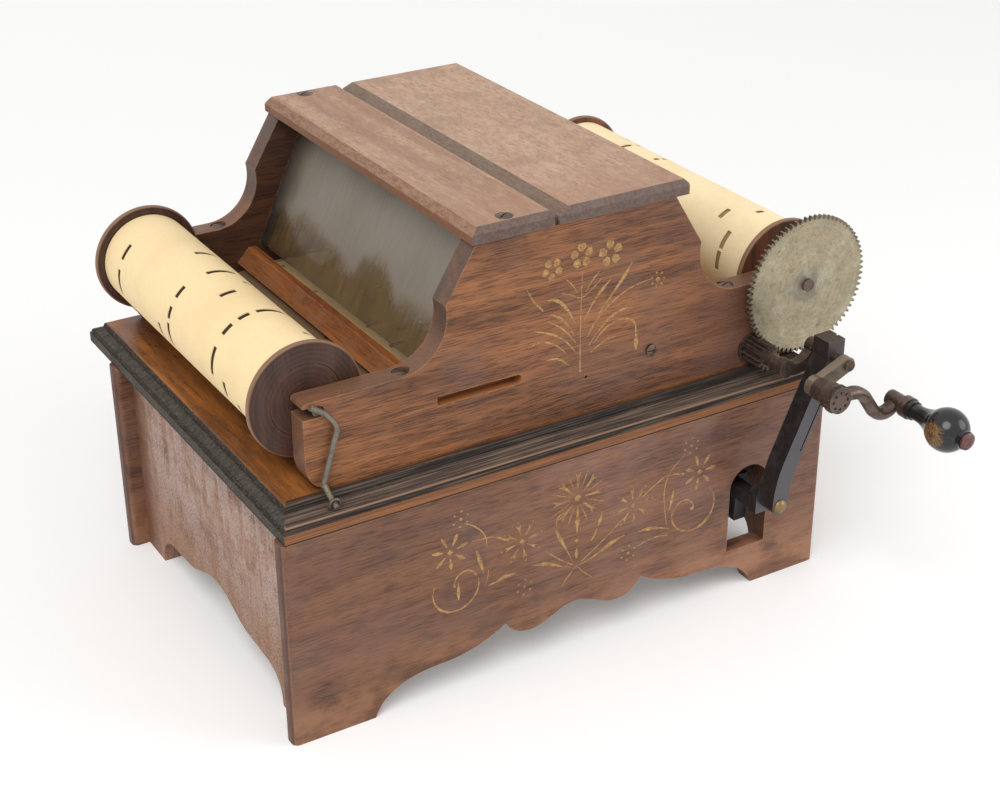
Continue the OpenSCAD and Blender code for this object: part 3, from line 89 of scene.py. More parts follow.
def colour(name, description, default):
    """A colour that can be changed."""
    return bpy.props.FloatVectorProperty(
        name=name, description=description, default=default, size=3, min=0.0, max=1.0, subtype="COLOR"
    )


def length(name, description, default):
    """A length that can be changed, in metres."""
    return bpy.props.FloatProperty(
        name=name, description=description, default=default, min=0.0, subtype="DISTANCE", unit="LENGTH"
    )


def share(name, description, default):
    """A share from 0 to 1 that can be changed."""
    return bpy.props.FloatProperty(
        name=name, description=description, default=default, min=0.0, max=1.0, subtype="FACTOR"
    )


def amount(name, description, default):
    """A plain number that can be changed."""
    return bpy.props.FloatProperty(name=name, description=description, default=default, min=0.0)


def whole_number(name, description, default):
    """A count that can be changed."""
    return bpy.props.IntProperty(name=name, description=description, default=default, min=1)


class WoodSettings(bpy.types.PropertyGroup):
    """Colours of the woods"""

    panel_light: colour("Panel, light", "Light bands of the cabinet's front and back", (0.212, 0.096, 0.051))
    panel_dark: colour("Panel, dark", "Dark bands of the cabinet's front and back", (0.120, 0.053, 0.032))
    end_light: colour("End, light", "Light bands of the faded end panels", (0.36, 0.20, 0.13))
    end_dark: colour("End, dark", "Dark bands of the end panels", (0.20, 0.095, 0.058))
    cheek_light: colour("Cheek, light", "Light bands of the cheeks", (0.33, 0.134, 0.054))
    cheek_dark: colour("Cheek, dark", "Dark bands of the cheeks", (0.125, 0.049, 0.024))
    roof_light: colour("Roof, light", "Light bands of the dry roof boards", (0.50, 0.32, 0.215))
    roof_dark: colour("Roof, dark", "Dark bands of the roof boards", (0.34, 0.19, 0.12))
    field_light: colour("Top, light", "Light bands of the polished top board", (0.42, 0.150, 0.032))
    field_dark: colour("Top, dark", "Dark bands of the top board", (0.17, 0.062, 0.020))
    rail_light: colour("Rail, light", "Light bands of the rails over the paper", (0.36, 0.12, 0.030))
    rail_dark: colour("Rail, dark", "Dark bands of the rails", (0.15, 0.040, 0.012))
    spool_light: colour("Spool, light", "Light bands of the turned spools", (0.080, 0.037, 0.026))
    spool_red: colour("Spool, red", "Light bands of the take-up spool", (0.19, 0.065, 0.034))
    spool_dark: colour("Spool, dark", "Dark bands of the spools", (0.035, 0.017, 0.013))
    pale_light: colour("Inner wood, light", "Light bands of the unfinished inner pieces", (0.50, 0.36, 0.22))
    pale_dark: colour("Inner wood, dark", "Dark bands of the inner pieces", (0.33, 0.21, 0.12))
    pore: colour("Pores", "Dark pores of every wood", (0.035, 0.018, 0.013))
    bare: colour("Bare wood", "Wood laid bare along worn edges", (0.50, 0.235, 0.105))
    edge_radius: length("Edge wear", "Width of the worn band along an edge", 0.9 * MM)


class MetalSettings(bpy.types.PropertyGroup):
    """Colours of the metals"""

    iron: colour("Iron", "Brown-grey iron of the crank and screws", (0.135, 0.10, 0.085))
    black: colour("Black iron", "Blackened iron of the rod and the arm", (0.030, 0.029, 0.031))
    steel: colour("Worn steel", "Worn pale steel of the outer crank web", (0.31, 0.255, 0.20))
    nickel: colour("Nickel", "Dull nickel of the large gear", (0.38, 0.315, 0.205))
    brass: colour("Brass", "Old brass", (0.25, 0.17, 0.075))
    wire: colour("Catch wire", "Dull wire of the spool catch", (0.20, 0.175, 0.135))
    cap: colour("Spindle cap", "Reddish cap on the knob's spindle", (0.16, 0.085, 0.085))
    rust: colour("Rust", "Rust freckles", (0.22, 0.085, 0.035))


class PaperSettings(bpy.types.PropertyGroup):
    """Colours, slots and turns of the paper"""

    tone: colour("Paper", "Warm cream of the paper", (0.92, 0.715, 0.405))
    aged: colour("Aged paper", "Paper that has gone brown", (0.70, 0.46, 0.21))
    # Painted light: the same paper as the feed roll's, painted lighter where the take-up roll is lit
    bright: colour("Take-up paper, painted lit", "Paper of the take-up roll, painted lighter where it is lit", (0.97, 0.80, 0.50))
    shade: colour("Slot shade", "What shows through a slot of the feed roll", (0.060, 0.034, 0.018))
    shade_aged: colour("Slot shade, aged", "Browner patches of that shade", (0.03, 0.018, 0.01))
    # Painted shade: the take-up roll's wound paper as seen through its slots
    wound: colour("Take-up slot shade", "Painted shade in a slot of the take-up roll", (0.40, 0.265, 0.13))
    wound_aged: colour("Take-up slot shade, aged", "Browner patches of that painted shade", (0.20, 0.12, 0.05))
    thickness: length("Outer turn", "Thickness of the outer turn of paper", 0.45 * MM)
    gap: length("Gap", "Gap between the outer turn and the roll", 0.5 * MM)
    slot_width: length("Slot width", "Width of a slot for one note", 3.5 * MM)
    notes: whole_number("Notes", "Rows of slots across the paper", 14)


class GiltSettings(bpy.types.PropertyGroup):
    """Colour, relief and wear of the gilt paint"""

    tone: colour("Gilt", "Bronze powder of the painted sprays", (0.46, 0.265, 0.095))
    relief: length("Relief", "How far the paint stands out of the wood", 0.08 * MM)
    worn: share("Worn away", "Share of the paint that is gone", 0.3)


class BellowsSettings(bpy.types.PropertyGroup):
    """Cloth and leather of the bellows"""

    cloth: colour("Cloth", "Dark red bellows cloth", (0.17, 0.022, 0.032))
    leather: colour("Leather", "Brown leather of hinges and flaps", (0.20, 0.125, 0.08))
    thickness: length("Cloth thickness", "Thickness of the bellows cloth", 0.7 * MM)
    leather_thickness: length("Leather thickness", "Thickness of hinges and flaps", 0.9 * MM)
    folds: whole_number("Folds", "Folds of each bellows", 3)
    fold_depth: length("Fold depth", "How far the folds turn in", 5.5 * MM)


class StageSettings(bpy.types.PropertyGroup):
    """Floor, light and lens"""

    floor: colour("Floor", "Colour of the floor", (0.88, 0.88, 0.88))
    lens: amount("Lens", "Focal length in millimetres", 65.4)
    key: amount("Key light", "Power of the large lamp in watts", 30.0)
    fill: amount("Fill light", "Power of the lamp at the right in watts", 12.0)
    sky: amount("Sky", "Strength of the light from all round", 0.62)


# Node helpers

def put(tree, socket, value):
    """Link a socket to another, or set its value."""
    if isinstance(value, bpy.types.NodeSocket):
        tree.links.new(value, socket)
    elif socket.type == "RGBA" and len(value) == 3:
        socket.default_value = (*value, 1.0)
    else:
        socket.default_value = value


def add(tree, kind, inputs=None, **settings):
    """Add a node of that kind with its settings and inputs."""
    made = tree.nodes.new("ShaderNode" + kind)
    for name, value in settings.items():
        setattr(made, name, value)
    for key, value in (inputs or {}).items():
        put(tree, made.inputs[key], value)
    return made


def reckon(tree, operation, a, b=0.0):
    """Reckon with one or two values; a sum is kept from 0 to 1."""
    return add(tree, "Math", {0: a, 1: b}, operation=operation, use_clamp=operation == "ADD").outputs[0]


def plus(tree, a, b):
    """A plain sum, which may pass 1."""
    return add(tree, "Math", {0: a, 1: b}, operation="ADD").outputs[0]


def multiply(tree, *values):
    """The product of all the values."""
    total = values[0]
    for value in values[1:]:
        total = reckon(tree, "MULTIPLY", total, value)
    return total


def mixed(tree, factor, a, b, how="MIX"):
    """Colour a, and colour b over it as far as the factor says."""
    return add(tree, "Mix", {0: factor, 6: a, 7: b}, data_type="RGBA", blend_type=how).outputs[2]


def between(tree, value, low, high, to_low=0.0, to_high=1.0):
    """Lead a value smoothly from to_low at low to to_high at high."""
    inputs = {"Value": value, "From Min": low, "From Max": high, "To Min": to_low, "To Max": to_high}
    return add(tree, "MapRange", inputs, interpolation_type="SMOOTHSTEP").outputs[0]


def inside(tree, value, low, high):
    """1 between low and high, 0 outside."""
    above = reckon(tree, "GREATER_THAN", value, low)
    return multiply(tree, above, reckon(tree, "LESS_THAN", value, high))


def stretched(tree, place, scale):
    """Coordinates multiplied by a scale for each axis: a small number draws a pattern out."""
    return add(tree, "VectorMath", {0: place, 1: scale}, operation="MULTIPLY").outputs[0]


def noise(tree, place, scale, detail=2.0, roughness=0.5, distortion=0.0):
    """Soft cloudy values about one half."""
    inputs = {"Vector": place, "Scale": scale, "Detail": detail}
    inputs.update({"Roughness": roughness, "Distortion": distortion})
    return add(tree, "TexNoise", inputs).outputs[0]


def split(tree, vector):
    """The three parts of a vector, by axis."""
    return add(tree, "SeparateXYZ", {0: vector}).outputs


def axis_distance(tree, axes, x, z):
    """Millimetres from an axis that runs along Y at x and z."""
    across = reckon(tree, "SUBTRACT", axes["X"], x)
    up = reckon(tree, "SUBTRACT", axes["Z"], z)
    squares = plus(tree, multiply(tree, across, across), multiply(tree, up, up))
    return reckon(tree, "SQRT", squares)


def place_in_mm(tree, turn=(0.0, 0.0, 0.0)):
    """Coordinates on the piece in millimetres, turned so that the grain runs along X."""
    spot = add(tree, "TexCoord").outputs["Object"]
    return add(tree, "Mapping", {"Vector": spot, "Rotation": turn, "Scale": (1000, 1000, 1000)}).outputs[0]


def side_of(tree):
    """The way the surface faces, as the piece was made."""
    return split(tree, add(tree, "TexCoord").outputs["Normal"])


def new_group(name, inputs, outputs):
    """An empty shader group with those sockets: its tree, what it is given and what it gives."""
    tree = bpy.data.node_groups.new(name, "ShaderNodeTree")
    for label, kind in inputs:
        tree.interface.new_socket(name=label, in_out="INPUT", socket_type="NodeSocket" + kind)
    for label, kind in outputs:
        tree.interface.new_socket(name=label, in_out="OUTPUT", socket_type="NodeSocket" + kind)
    given = tree.nodes.new("NodeGroupInput").outputs
    gives = tree.nodes.new("NodeGroupOutput").inputs
    return tree, given, gives


def use_group(tree, name, inputs):
    """Place a shared effect in a material; it is built the first time."""
    group = bpy.data.node_groups.get(name) or EFFECTS[name](name)
    made = tree.nodes.new("ShaderNodeGroup")
    made.node_tree = group
    for key, value in inputs.items():
        put(tree, made.inputs[key], value)
    return made.outputs


# Shared effects

def wood_grain(name):
    """Bands, fibres and short dark pores that run along X."""
    inputs = [("Place", "Vector"), ("Light", "Color"), ("Dark", "Color")]
    inputs += [("Pore", "Color"), ("Pores", "Float")]
    tree, given, gives = new_group(name, inputs, [("Color", "Color"), ("Height", "Float")])
    place = given["Place"]
    bands = noise(tree, stretched(tree, place, (0.008, 0.085, 0.085)), 1.0, 4.0, 0.55, 0.9)
    fibres = noise(tree, stretched(tree, place, (0.04, 2.2, 2.2)), 1.0, 2.0, 0.6)
    streaks = noise(tree, stretched(tree, place, (0.03, 0.7, 0.7)), 1.0, 3.0, 0.6, 0.2)
    pore_field = noise(tree, stretched(tree, place, (0.085, 1.4, 1.4)), 1.0, 2.0, 0.5)
    tone = mixed(tree, between(tree, bands, 0.34, 0.66), given["Dark"], given["Light"])
    tone = mixed(tree, between(tree, fibres, 0.3, 0.7, 0.0, 0.35), tone, given["Light"])
    tone = mixed(tree, between(tree, streaks, 0.5, 0.68, 0.0, 0.2), tone, given["Dark"])
    crowded = between(tree, bands, 0.3, 0.62, 1.0, 0.6)
    pores = multiply(tree, between(tree, pore_field, 0.5, 0.6, 0.0, 0.75), crowded, given["Pores"])
    put(tree, gives["Color"], mixed(tree, pores, tone, given["Pore"]))
    height = reckon(tree, "SUBTRACT", multiply(tree, fibres, 0.35), pores)
    put(tree, gives["Height"], height)
    return tree


def worn_edges(name):
    """A broken band along the edges of a piece."""
    tree, given, gives = new_group(name, [("Place", "Vector"), ("Radius", "Float")], [("Mask", "Float")])
    rounded = add(tree, "Bevel", {"Radius": given["Radius"]}, samples=4).outputs[0]
    flat = add(tree, "NewGeometry").outputs["Normal"]
    same = add(tree, "VectorMath", {0: rounded, 1: flat}, operation="DOT_PRODUCT").outputs["Value"]
    edge = between(tree, same, 0.86, 0.995, 1.0, 0.0)
    broken = between(tree, noise(tree, given["Place"], 0.16, 4.0, 0.65), 0.36, 0.6, 0.15, 1.0)
    put(tree, gives["Mask"], multiply(tree, edge, broken))
    return tree


def settled_dust(name):
    """Dust that lies in patches on what faces up."""
    inputs = [("Place", "Vector"), ("Amount", "Float")]
    tree, given, gives = new_group(name, inputs, [("Mask", "Float")])
    up = between(tree, side_of(tree)["Z"], 0.2, 0.9)
    patches = between(tree, noise(tree, given["Place"], 0.05, 5.0, 0.62), 0.34, 0.68, 0.2, 1.0)
    specks = between(tree, noise(tree, given["Place"], 1.1, 3.0, 0.6), 0.5, 0.72)
    mask = reckon(tree, "ADD", multiply(tree, patches, 0.7), multiply(tree, specks, 0.35))
    put(tree, gives["Mask"], multiply(tree, mask, up, given["Amount"]))
    return tree


def scratches(name):
    """Thin scratches in two slanting directions."""
    tree, given, gives = new_group(name, [("Place", "Vector")], [("Mask", "Float")])
    masks = []
    for turn in (0.22, -0.34):
        place = add(tree, "Mapping", {"Vector": given["Place"], "Rotation": (turn, turn, turn)}).outputs[0]
        lines = noise(tree, stretched(tree, place, (1.3, 1.3, 0.035)), 1.0, 1.0, 0.4)
        masks.append(between(tree, lines, 0.66, 0.72))
    put(tree, gives["Mask"], reckon(tree, "ADD", masks[0], masks[1]))
    return tree


def metal_age(name):
    """Stains, pits and rust freckles on metal."""
    inputs = [("Place", "Vector"), ("Metal", "Color"), ("Stain", "Color")]
    inputs += [("Rust", "Color"), ("Rusted", "Float")]
    outputs = [("Color", "Color"), ("Rust", "Float"), ("Roughness", "Float"), ("Height", "Float")]
    tree, given, gives = new_group(name, inputs, outputs)
    place = given["Place"]
    clouds = noise(tree, place, 0.12, 5.0, 0.62, 0.5)
    pits = noise(tree, place, 1.6, 3.0, 0.6)
    freckles = noise(tree, place, 0.55, 4.0, 0.7)
    stain = between(tree, clouds, 0.42, 0.68, 0.0, 0.8)
    rust = multiply(tree, between(tree, freckles, 0.5, 0.66), given["Rusted"])
    tone = mixed(tree, stain, given["Metal"], given["Stain"])
    put(tree, gives["Color"], mixed(tree, rust, tone, given["Rust"]))
    put(tree, gives["Rust"], rust)
    put(tree, gives["Roughness"], between(tree, clouds, 0.35, 0.7, 0.3, 0.55))
    put(tree, gives["Height"], reckon(tree, "SUBTRACT", multiply(tree, pits, 0.5), multiply(tree, rust, 0.5)))
    return tree


def woven(name):
    """Plain weave that follows the piece's own UV map, given in millimetres."""
    tree, given, gives = new_group(name, [("Place", "Vector"), ("Threads", "Float")], [("Height", "Float")])
    axes = split(tree, given["Place"])
    waves = []
    for axis in ("X", "Y"):
        turns = multiply(tree, axes[axis], given["Threads"], FULL_TURN)
        waves.append(between(tree, reckon(tree, "SINE", turns), -1.0, 1.0))
    put(tree, gives["Height"], multiply(tree, waves[0], waves[1]))
    return tree


EFFECTS = {
    "Wood grain": wood_grain,
    "Worn edges": worn_edges,
    "Settled dust": settled_dust,
    "Scratches": scratches,
    "Metal age": metal_age,
    "Woven": woven,
}


# Finishes

def start_finish(name):
    """An empty material with its shader: the material, its tree and the shader."""
    material = bpy.data.materials.new(name)
    material.use_nodes = True
    tree = material.node_tree
    tree.nodes.clear()
    shader = tree.nodes.new("ShaderNodeBsdfPrincipled")
    output = tree.nodes.new("ShaderNodeOutputMaterial")
    tree.links.new(shader.outputs[0], output.inputs["Surface"])
    return material, tree, shader


def end_finish(tree, shader, tone, roughness, height, depth):
    """Give the shader its colour, its roughness and a relief of that depth."""
    put(tree, shader.inputs["Base Color"], tone)
    put(tree, shader.inputs["Roughness"], roughness)
    bump = add(tree, "Bump", {"Height": height, "Strength": 1.0, "Distance": depth})
    put(tree, shader.inputs["Normal"], bump.outputs[0])


# Turns that lay the grain along each axis
ALONG_X = (0.0, 0.0, 0.0)
ALONG_Y = (0.0, 0.0, -math.pi / 2)
ALONG_Z = (0.0, math.pi / 2, 0.0)

# Colour of dust on wood, and the shine of wood that has lost its polish
DUST = (0.36, 0.30, 0.25)
DULL_SHINE = 0.12


def wood(
    name, light, dark, turn,
    pores=1.0, roughness=0.45, shine=0.3, edges=0.7, dust=0.0, retouch=None, dulled=None,
):
    """A wood whose grain runs the given way; retouch changes its colour and dulled its shine by place."""
    woods = bpy.context.scene.organette_woods
    material, tree, shader = start_finish(name)
    place = place_in_mm(tree, turn)
    grain_inputs = {"Place": place, "Light": light, "Dark": dark, "Pore": woods.pore, "Pores": pores}
    grain = use_group(tree, "Wood grain", grain_inputs)
    edge = use_group(tree, "Worn edges", {"Place": place, "Radius": woods.edge_radius})["Mask"]
    tone = grain["Color"]
    if retouch:
        tone = retouch(tree, tone)
    tone = mixed(tree, multiply(tree, edge, edges), tone, woods.bare)
    rough = between(tree, noise(tree, place, 0.07, 4.0, 0.6), 0.3, 0.7, roughness - 0.07, roughness + 0.12)
    if dust:
        layer = use_group(tree, "Settled dust", {"Place": place, "Amount": dust})["Mask"]
        tone = mixed(tree, layer, tone, DUST)
        rough = reckon(tree, "ADD", rough, multiply(tree, layer, 0.4))
    shader.inputs["Specular IOR Level"].default_value = shine
    if dulled:
        dull = dulled(tree)
        rough = reckon(tree, "ADD", rough, multiply(tree, dull, 0.35))
        put(tree, shader.inputs["Specular IOR Level"], between(tree, dull, 0.0, 1.0, shine, DULL_SHINE))
    end_finish(tree, shader, tone, rough, grain["Height"], 0.12 * MM)
    return material


def panel_tones(tree, tone):
    """Orange wear low down, smudges, a lighter right half that is painted sheen, darker ends with painted
    shade on the hole's side walls, and a painted highlight down the left corner.
    """
    woods = bpy.context.scene.organette_woods
    middle = MIDDLE_X / MM
    place = place_in_mm(tree)
    axes = split(tree, place)
    patches = noise(tree, place, 0.035, 4.0, 0.6)
    low = multiply(tree, between(tree, axes["Z"], 10.0, 46.0, 0.42, 0.0), between(tree, patches, 0.35, 0.6))
    tone = mixed(tree, low, tone, woods.bare)
    tone = mixed(tree, between(tree, patches, 0.4, 0.66, 0.0, 0.3), tone, (0.20, 0.12, 0.10))
    # Painted sheen: the right half is lightened and made bluer, where the varnish shows a grey sheen
    lighter = mixed(tree, 1.0, tone, (1.42, 1.48, 1.6), "MULTIPLY")
    tone = mixed(tree, between(tree, axes["X"], middle - 80, middle + 40, 0.0, 0.5), tone, lighter)
    smudges = noise(tree, stretched(tree, place, (0.6, 1.0, 1.0)), 0.075, 4.0, 0.55)
    tone = mixed(tree, between(tree, smudges, 0.52, 0.7, 0.0, 0.5), tone, (0.066, 0.038, 0.036))
    # Faces that look along X are darker: the panel's ends, and painted shade on the side walls of the hole
    ends_and_hole_shade = between(tree, reckon(tree, "ABSOLUTE", side_of(tree)["X"]), 0.6, 0.9, 0.0, 0.85)
    tone = mixed(tree, ends_and_hole_shade, tone, (0.095, 0.040, 0.026))
    # Painted highlight: a grey line down the front left corner, where the rounded end catches the light
    corner = [
        between(tree, axes[axis], side / MM + 0.4, side / MM + 1.5, 1.0, 0.0)
        for axis, side in (("X", panel_low.x), ("Y", panel_low.y))
    ]
    return mixed(tree, multiply(tree, *corner, 0.8), tone, (0.40, 0.35, 0.32))


def end_tones(tree, tone):
    """Rubbed patches, slanting strokes and scratches; darker low down, and painted shade close to the
    corners.
    """
    place = place_in_mm(tree)
    axes = split(tree, place)
    marks = use_group(tree, "Scratches", {"Place": place})["Mask"]
    patches = between(tree, noise(tree, stretched(tree, place, (1.0, 1.0, 0.3)), 0.07, 4.0, 0.7), 0.4, 0.56)
    slanted = add(tree, "Mapping", {"Vector": place, "Rotation": (-0.7, 0.0, 0.0)}).outputs[0]
    strokes = noise(tree, stretched(tree, slanted, (1.3, 1.9, 0.28)), 1.0, 3.0, 0.65)
    rubbed = multiply(tree, patches, between(tree, strokes, 0.38, 0.56, 0.35, 1.0), 0.72)
    tone = mixed(tree, rubbed, tone, (0.47, 0.355, 0.31))
    tone = mixed(tree, between(tree, strokes, 0.46, 0.36, 0.0, 0.6), tone, (0.12, 0.062, 0.045))
    tone = mixed(tree, multiply(tree, marks, 0.5), tone, (0.66, 0.53, 0.45))
    lower = between(tree, axes["Z"], BASE_H / MM * 0.2, BASE_H / MM * 0.62, 0.7, 0.0)
    reddish = mixed(tree, between(tree, strokes, 0.4, 0.6), (0.20, 0.09, 0.05), (0.36, 0.19, 0.105))
    tone = mixed(tree, lower, tone, reddish)
    # Painted shade in the inside corners, next to the front and back panels that stand out past the end panel
    far = between(tree, axes["Y"], back_low.y / MM - 26, back_low.y / MM - 4, 0.0, 0.75)
    near = between(tree, axes["Y"], panel_low.y / MM + 10, panel_low.y / MM + 20, 0.5, 0.0)
    return mixed(tree, reckon(tree, "ADD", far, near), tone, (0.15, 0.06, 0.035))


# Where the slot in the front cheek's face lies, in millimetres
FACE_SLOT_X = (-86.0, -33.0)
FACE_SLOT_Z = (154.5, 161.5)


def cheek_tones(tree, tone):
    """Darker to the right; dirt on the sawn edges, grey high up, and fresh wood in the face's slot."""
    place = place_in_mm(tree)
    axes = split(tree, place)
    tone = mixed(tree, between(tree, axes["X"], 28.0, 105.0, 0.0, 0.72), tone, (0.115, 0.052, 0.036))
    shadow = between(tree, noise(tree, place, 0.022, 3.0, 0.5), 0.45, 0.66, 0.0, 0.35)
    tone = mixed(tree, shadow, tone, (0.14, 0.085, 0.07))
    sawn = between(tree, reckon(tree, "ABSOLUTE", side_of(tree)["Y"]), 0.5, 0.9, 1.0, 0.0)
    high = between(tree, axes["Z"], cheek_low.z / MM + 52, cheek_low.z / MM + 70)
    grime = between(tree, noise(tree, place, 0.1, 4.0, 0.6), 0.3, 0.7, 0.5, 0.95)
    dirt = mixed(tree, high, (0.17, 0.085, 0.052), (0.085, 0.064, 0.056))
    tone = mixed(tree, multiply(tree, sawn, grime), tone, dirt)
    in_slot = multiply(tree, inside(tree, axes["X"], *FACE_SLOT_X), inside(tree, axes["Z"], *FACE_SLOT_Z))
    return mixed(tree, multiply(tree, in_slot, sawn, 0.9), tone, (0.36, 0.14, 0.05))


def back_cheek_tones(tree, tone):
    """The far cheek is almost black inside, with a paler sawn edge."""
    tone = cheek_tones(tree, tone)
    inner = between(tree, side_of(tree)["Y"], -0.5, -0.9, 0.0, 0.72)
    return mixed(tree, inner, tone, (0.028, 0.014, 0.011))


def roof_tones(groove_side):
    """Specks and stains on a roof board, and its bevels: dusty in the groove, else orange, grey in front."""

    def retouch(tree, tone):
        place = place_in_mm(tree)
        faces = side_of(tree)
        axes = split(tree, place)
        if groove_side:
            tone = mixed(tree, 0.4, tone, (0.66, 0.45, 0.33))
        specks = noise(tree, stretched(tree, place, (1.0, 0.35, 1.0)), 0.6, 5.0, 0.8)
        tone = mixed(tree, between(tree, specks, 0.48, 0.62, 0.0, 0.65), tone, (0.27, 0.145, 0.09))
        tone = mixed(tree, between(tree, specks, 0.46, 0.3, 0.0, 0.4), tone, (0.68, 0.50, 0.39))
        stains = between(tree, noise(tree, place, 0.045, 5.0, 0.65, 0.6), 0.46, 0.66, 0.0, 0.5)
        tone = mixed(tree, stains, tone, (0.34, 0.205, 0.14))
        handled = between(tree, axes["Y"], cheek_low.y / MM, cheek_low.y / MM + 60, 0.45, 0.0)
        tone = mixed(tree, handled, tone, (0.34, 0.17, 0.10))
        dirt = between(tree, specks, 0.4, 0.62)
        if groove_side:
            bevel = mixed(tree, dirt, (0.10, 0.068, 0.048), (0.20, 0.15, 0.115))
        else:
            bevel = mixed(tree, dirt, (0.30, 0.165, 0.10), (0.17, 0.08, 0.048))
        tone = mixed(tree, between(tree, faces["X"], -0.15, -0.5, 0.0, 0.85), tone, bevel)
        if not groove_side:
            upright = between(tree, faces["X"], -0.8, -0.95, 0.0, 0.8)
            tone = mixed(tree, upright, tone, (0.19, 0.085, 0.045))
        front = between(tree, faces["Y"], -0.3, -0.6, 0.0, 0.88)
        front_tone = mixed(tree, dirt, (0.060, 0.046, 0.046), (0.13, 0.095, 0.085))
        return mixed(tree, front, tone, front_tone)

    return retouch


# Steps of the top board's milled edge in millimetres above the cabinet's sides: where each begins or ends
SEAM_END = (0.5, 1.1)
STRIP_END = (5.1, 5.6)
SHELF_START = (7.6, 7.9)
# Band of the painted highlight along the shelf's arris
SHELF_ARRIS = (7.7, 8.03)
SHELF_END = (8.95, 9.3)
FIELD_START = (12.1, 12.6)

# Width of the black rim along the front in millimetres, whose inner part is painted shade on the field in
# front of the cheek, and how its mitre leans to the ends
RIM_END = (17.9, 18.6)
MITRE_SLOPE = 0.55


def height_on_top(tree, place):
    """Millimetres above the cabinet's sides."""
    return reckon(tree, "SUBTRACT", split(tree, place)["Z"], BASE_H / MM)


def top_tones(tree, tone):
    """A mottled field with painted shade under the roll, over a blackened milled edge that also lays painted
    shade on the field in front of the cheek; its front has a rubbed shelf with a painted highlight on its
    arris, and an orange strip.
    """
    place = place_in_mm(tree)
    axes = split(tree, place)
    height = height_on_top(tree, place)
    middle = (top_low.x + top_high.x) / 2 / MM
    half_length = (top_high.x - top_low.x) / 2 / MM
    from_middle = reckon(tree, "ABSOLUTE", reckon(tree, "SUBTRACT", axes["X"], middle))
    from_end = reckon(tree, "SUBTRACT", half_length, from_middle)
    from_front = reckon(tree, "SUBTRACT", axes["Y"], top_low.y / MM)
    past_mitre = reckon(tree, "SUBTRACT", from_end, multiply(tree, from_front, MITRE_SLOPE))
    front_half = between(tree, axes["Y"], MIDDLE_Y / MM - 1, MIDDLE_Y / MM + 1, 1.0, 0.0)
    along_front = multiply(tree, between(tree, past_mitre, -0.3, 0.3), front_half)
    # Field
    pools = noise(tree, stretched(tree, place, (0.09, 0.018, 0.05)), 1.0, 4.0, 0.6)
    tone = mixed(tree, between(tree, pools, 0.42, 0.6, 0.0, 0.6), tone, (0.105, 0.036, 0.012))
    # Painted shade on the field under the feed roll, lighter towards the left corner
    shade_under_roll = between(tree, axes["X"], top_low.x / MM + 16, top_low.x / MM + 34, 0.0, 0.6)
    tone = mixed(tree, shade_under_roll, tone, (0.085, 0.030, 0.012))
    # Milled edge, from its top down
    streaks = noise(tree, stretched(tree, place, (0.02, 1.1, 1.3)), 1.0, 4.0, 0.7)
    black = mixed(tree, between(tree, streaks, 0.46, 0.68), (0.020, 0.017, 0.016), (0.115, 0.094, 0.075))
    # The milled edge's black paint, which also darkens the field's outer edge as painted shade in front of
    # the cheek
    rim = multiply(tree, along_front, between(tree, from_front, *RIM_END, 0.85, 0.0))
    tone = mixed(tree, rim, tone, black)
    tone = mixed(tree, between(tree, height, *FIELD_START, 1.0, 0.0), tone, black)
    shelf = multiply(tree, between(tree, height, *SHELF_START), between(tree, height, *SHELF_END, 0.9, 0.0))
    rubbed = mixed(tree, between(tree, streaks, 0.42, 0.64), (0.052, 0.040, 0.034), (0.20, 0.140, 0.105))
    # Painted highlight: a light orange line along the shelf's arris
    arris_highlight = multiply(tree, inside(tree, height, *SHELF_ARRIS), 0.7)
    rubbed = mixed(tree, arris_highlight, rubbed, (0.40, 0.24, 0.14))
    charcoal = mixed(tree, between(tree, streaks, 0.4, 0.66), (0.048, 0.044, 0.038), (0.11, 0.10, 0.082))
    tone = mixed(tree, shelf, tone, mixed(tree, along_front, charcoal, rubbed))
    bare = mixed(tree, between(tree, streaks, 0.42, 0.62), (0.31, 0.135, 0.06), (0.17, 0.075, 0.042))
    strip = between(tree, height, *STRIP_END, 0.92, 0.0)
    tone = mixed(tree, strip, tone, mixed(tree, along_front, charcoal, bare))
    return mixed(tree, between(tree, height, *SEAM_END, 0.9, 0.0), tone, (0.02, 0.012, 0.01))


def top_dulled(tree):
    """The milled edge has lost its polish."""
    return between(tree, height_on_top(tree, place_in_mm(tree)), *FIELD_START, 1.0, 0.0)


def rail_tones(tree, tone):
    """Dust on the slanted faces."""
    slanted = between(tree, reckon(tree, "ABSOLUTE", side_of(tree)["X"]), 0.3, 0.75)
    patches = between(tree, noise(tree, place_in_mm(tree), 0.06, 5.0, 0.65), 0.38, 0.62, 0.1, 0.65)
    return mixed(tree, multiply(tree, slanted, patches), tone, (0.24, 0.110, 0.050))


def spool_tones(axis_x, axis_z, radius):
    """Turned rings round the spool's axis, and a rubbed pale rim."""

    def retouch(tree, tone):
        axes = split(tree, place_in_mm(tree))
        distance = axis_distance(tree, axes, axis_x / MM, axis_z / MM)
        turned = between(tree, reckon(tree, "SINE", multiply(tree, distance, 2.6)), -0.2, 1.0, 0.0, 0.12)
        tone = mixed(tree, turned, tone, (0.16, 0.085, 0.06))
        rim = between(tree, distance, radius / MM - 1.1, radius / MM - 0.2, 0.0, 0.75)
        return mixed(tree, rim, tone, (0.30, 0.165, 0.09))

    return retouch


# Colour of metal that is rubbed bright, and the width of that band along an edge
WORN_METAL = (0.62, 0.55, 0.46)
METAL_WEAR = 0.4 * MM


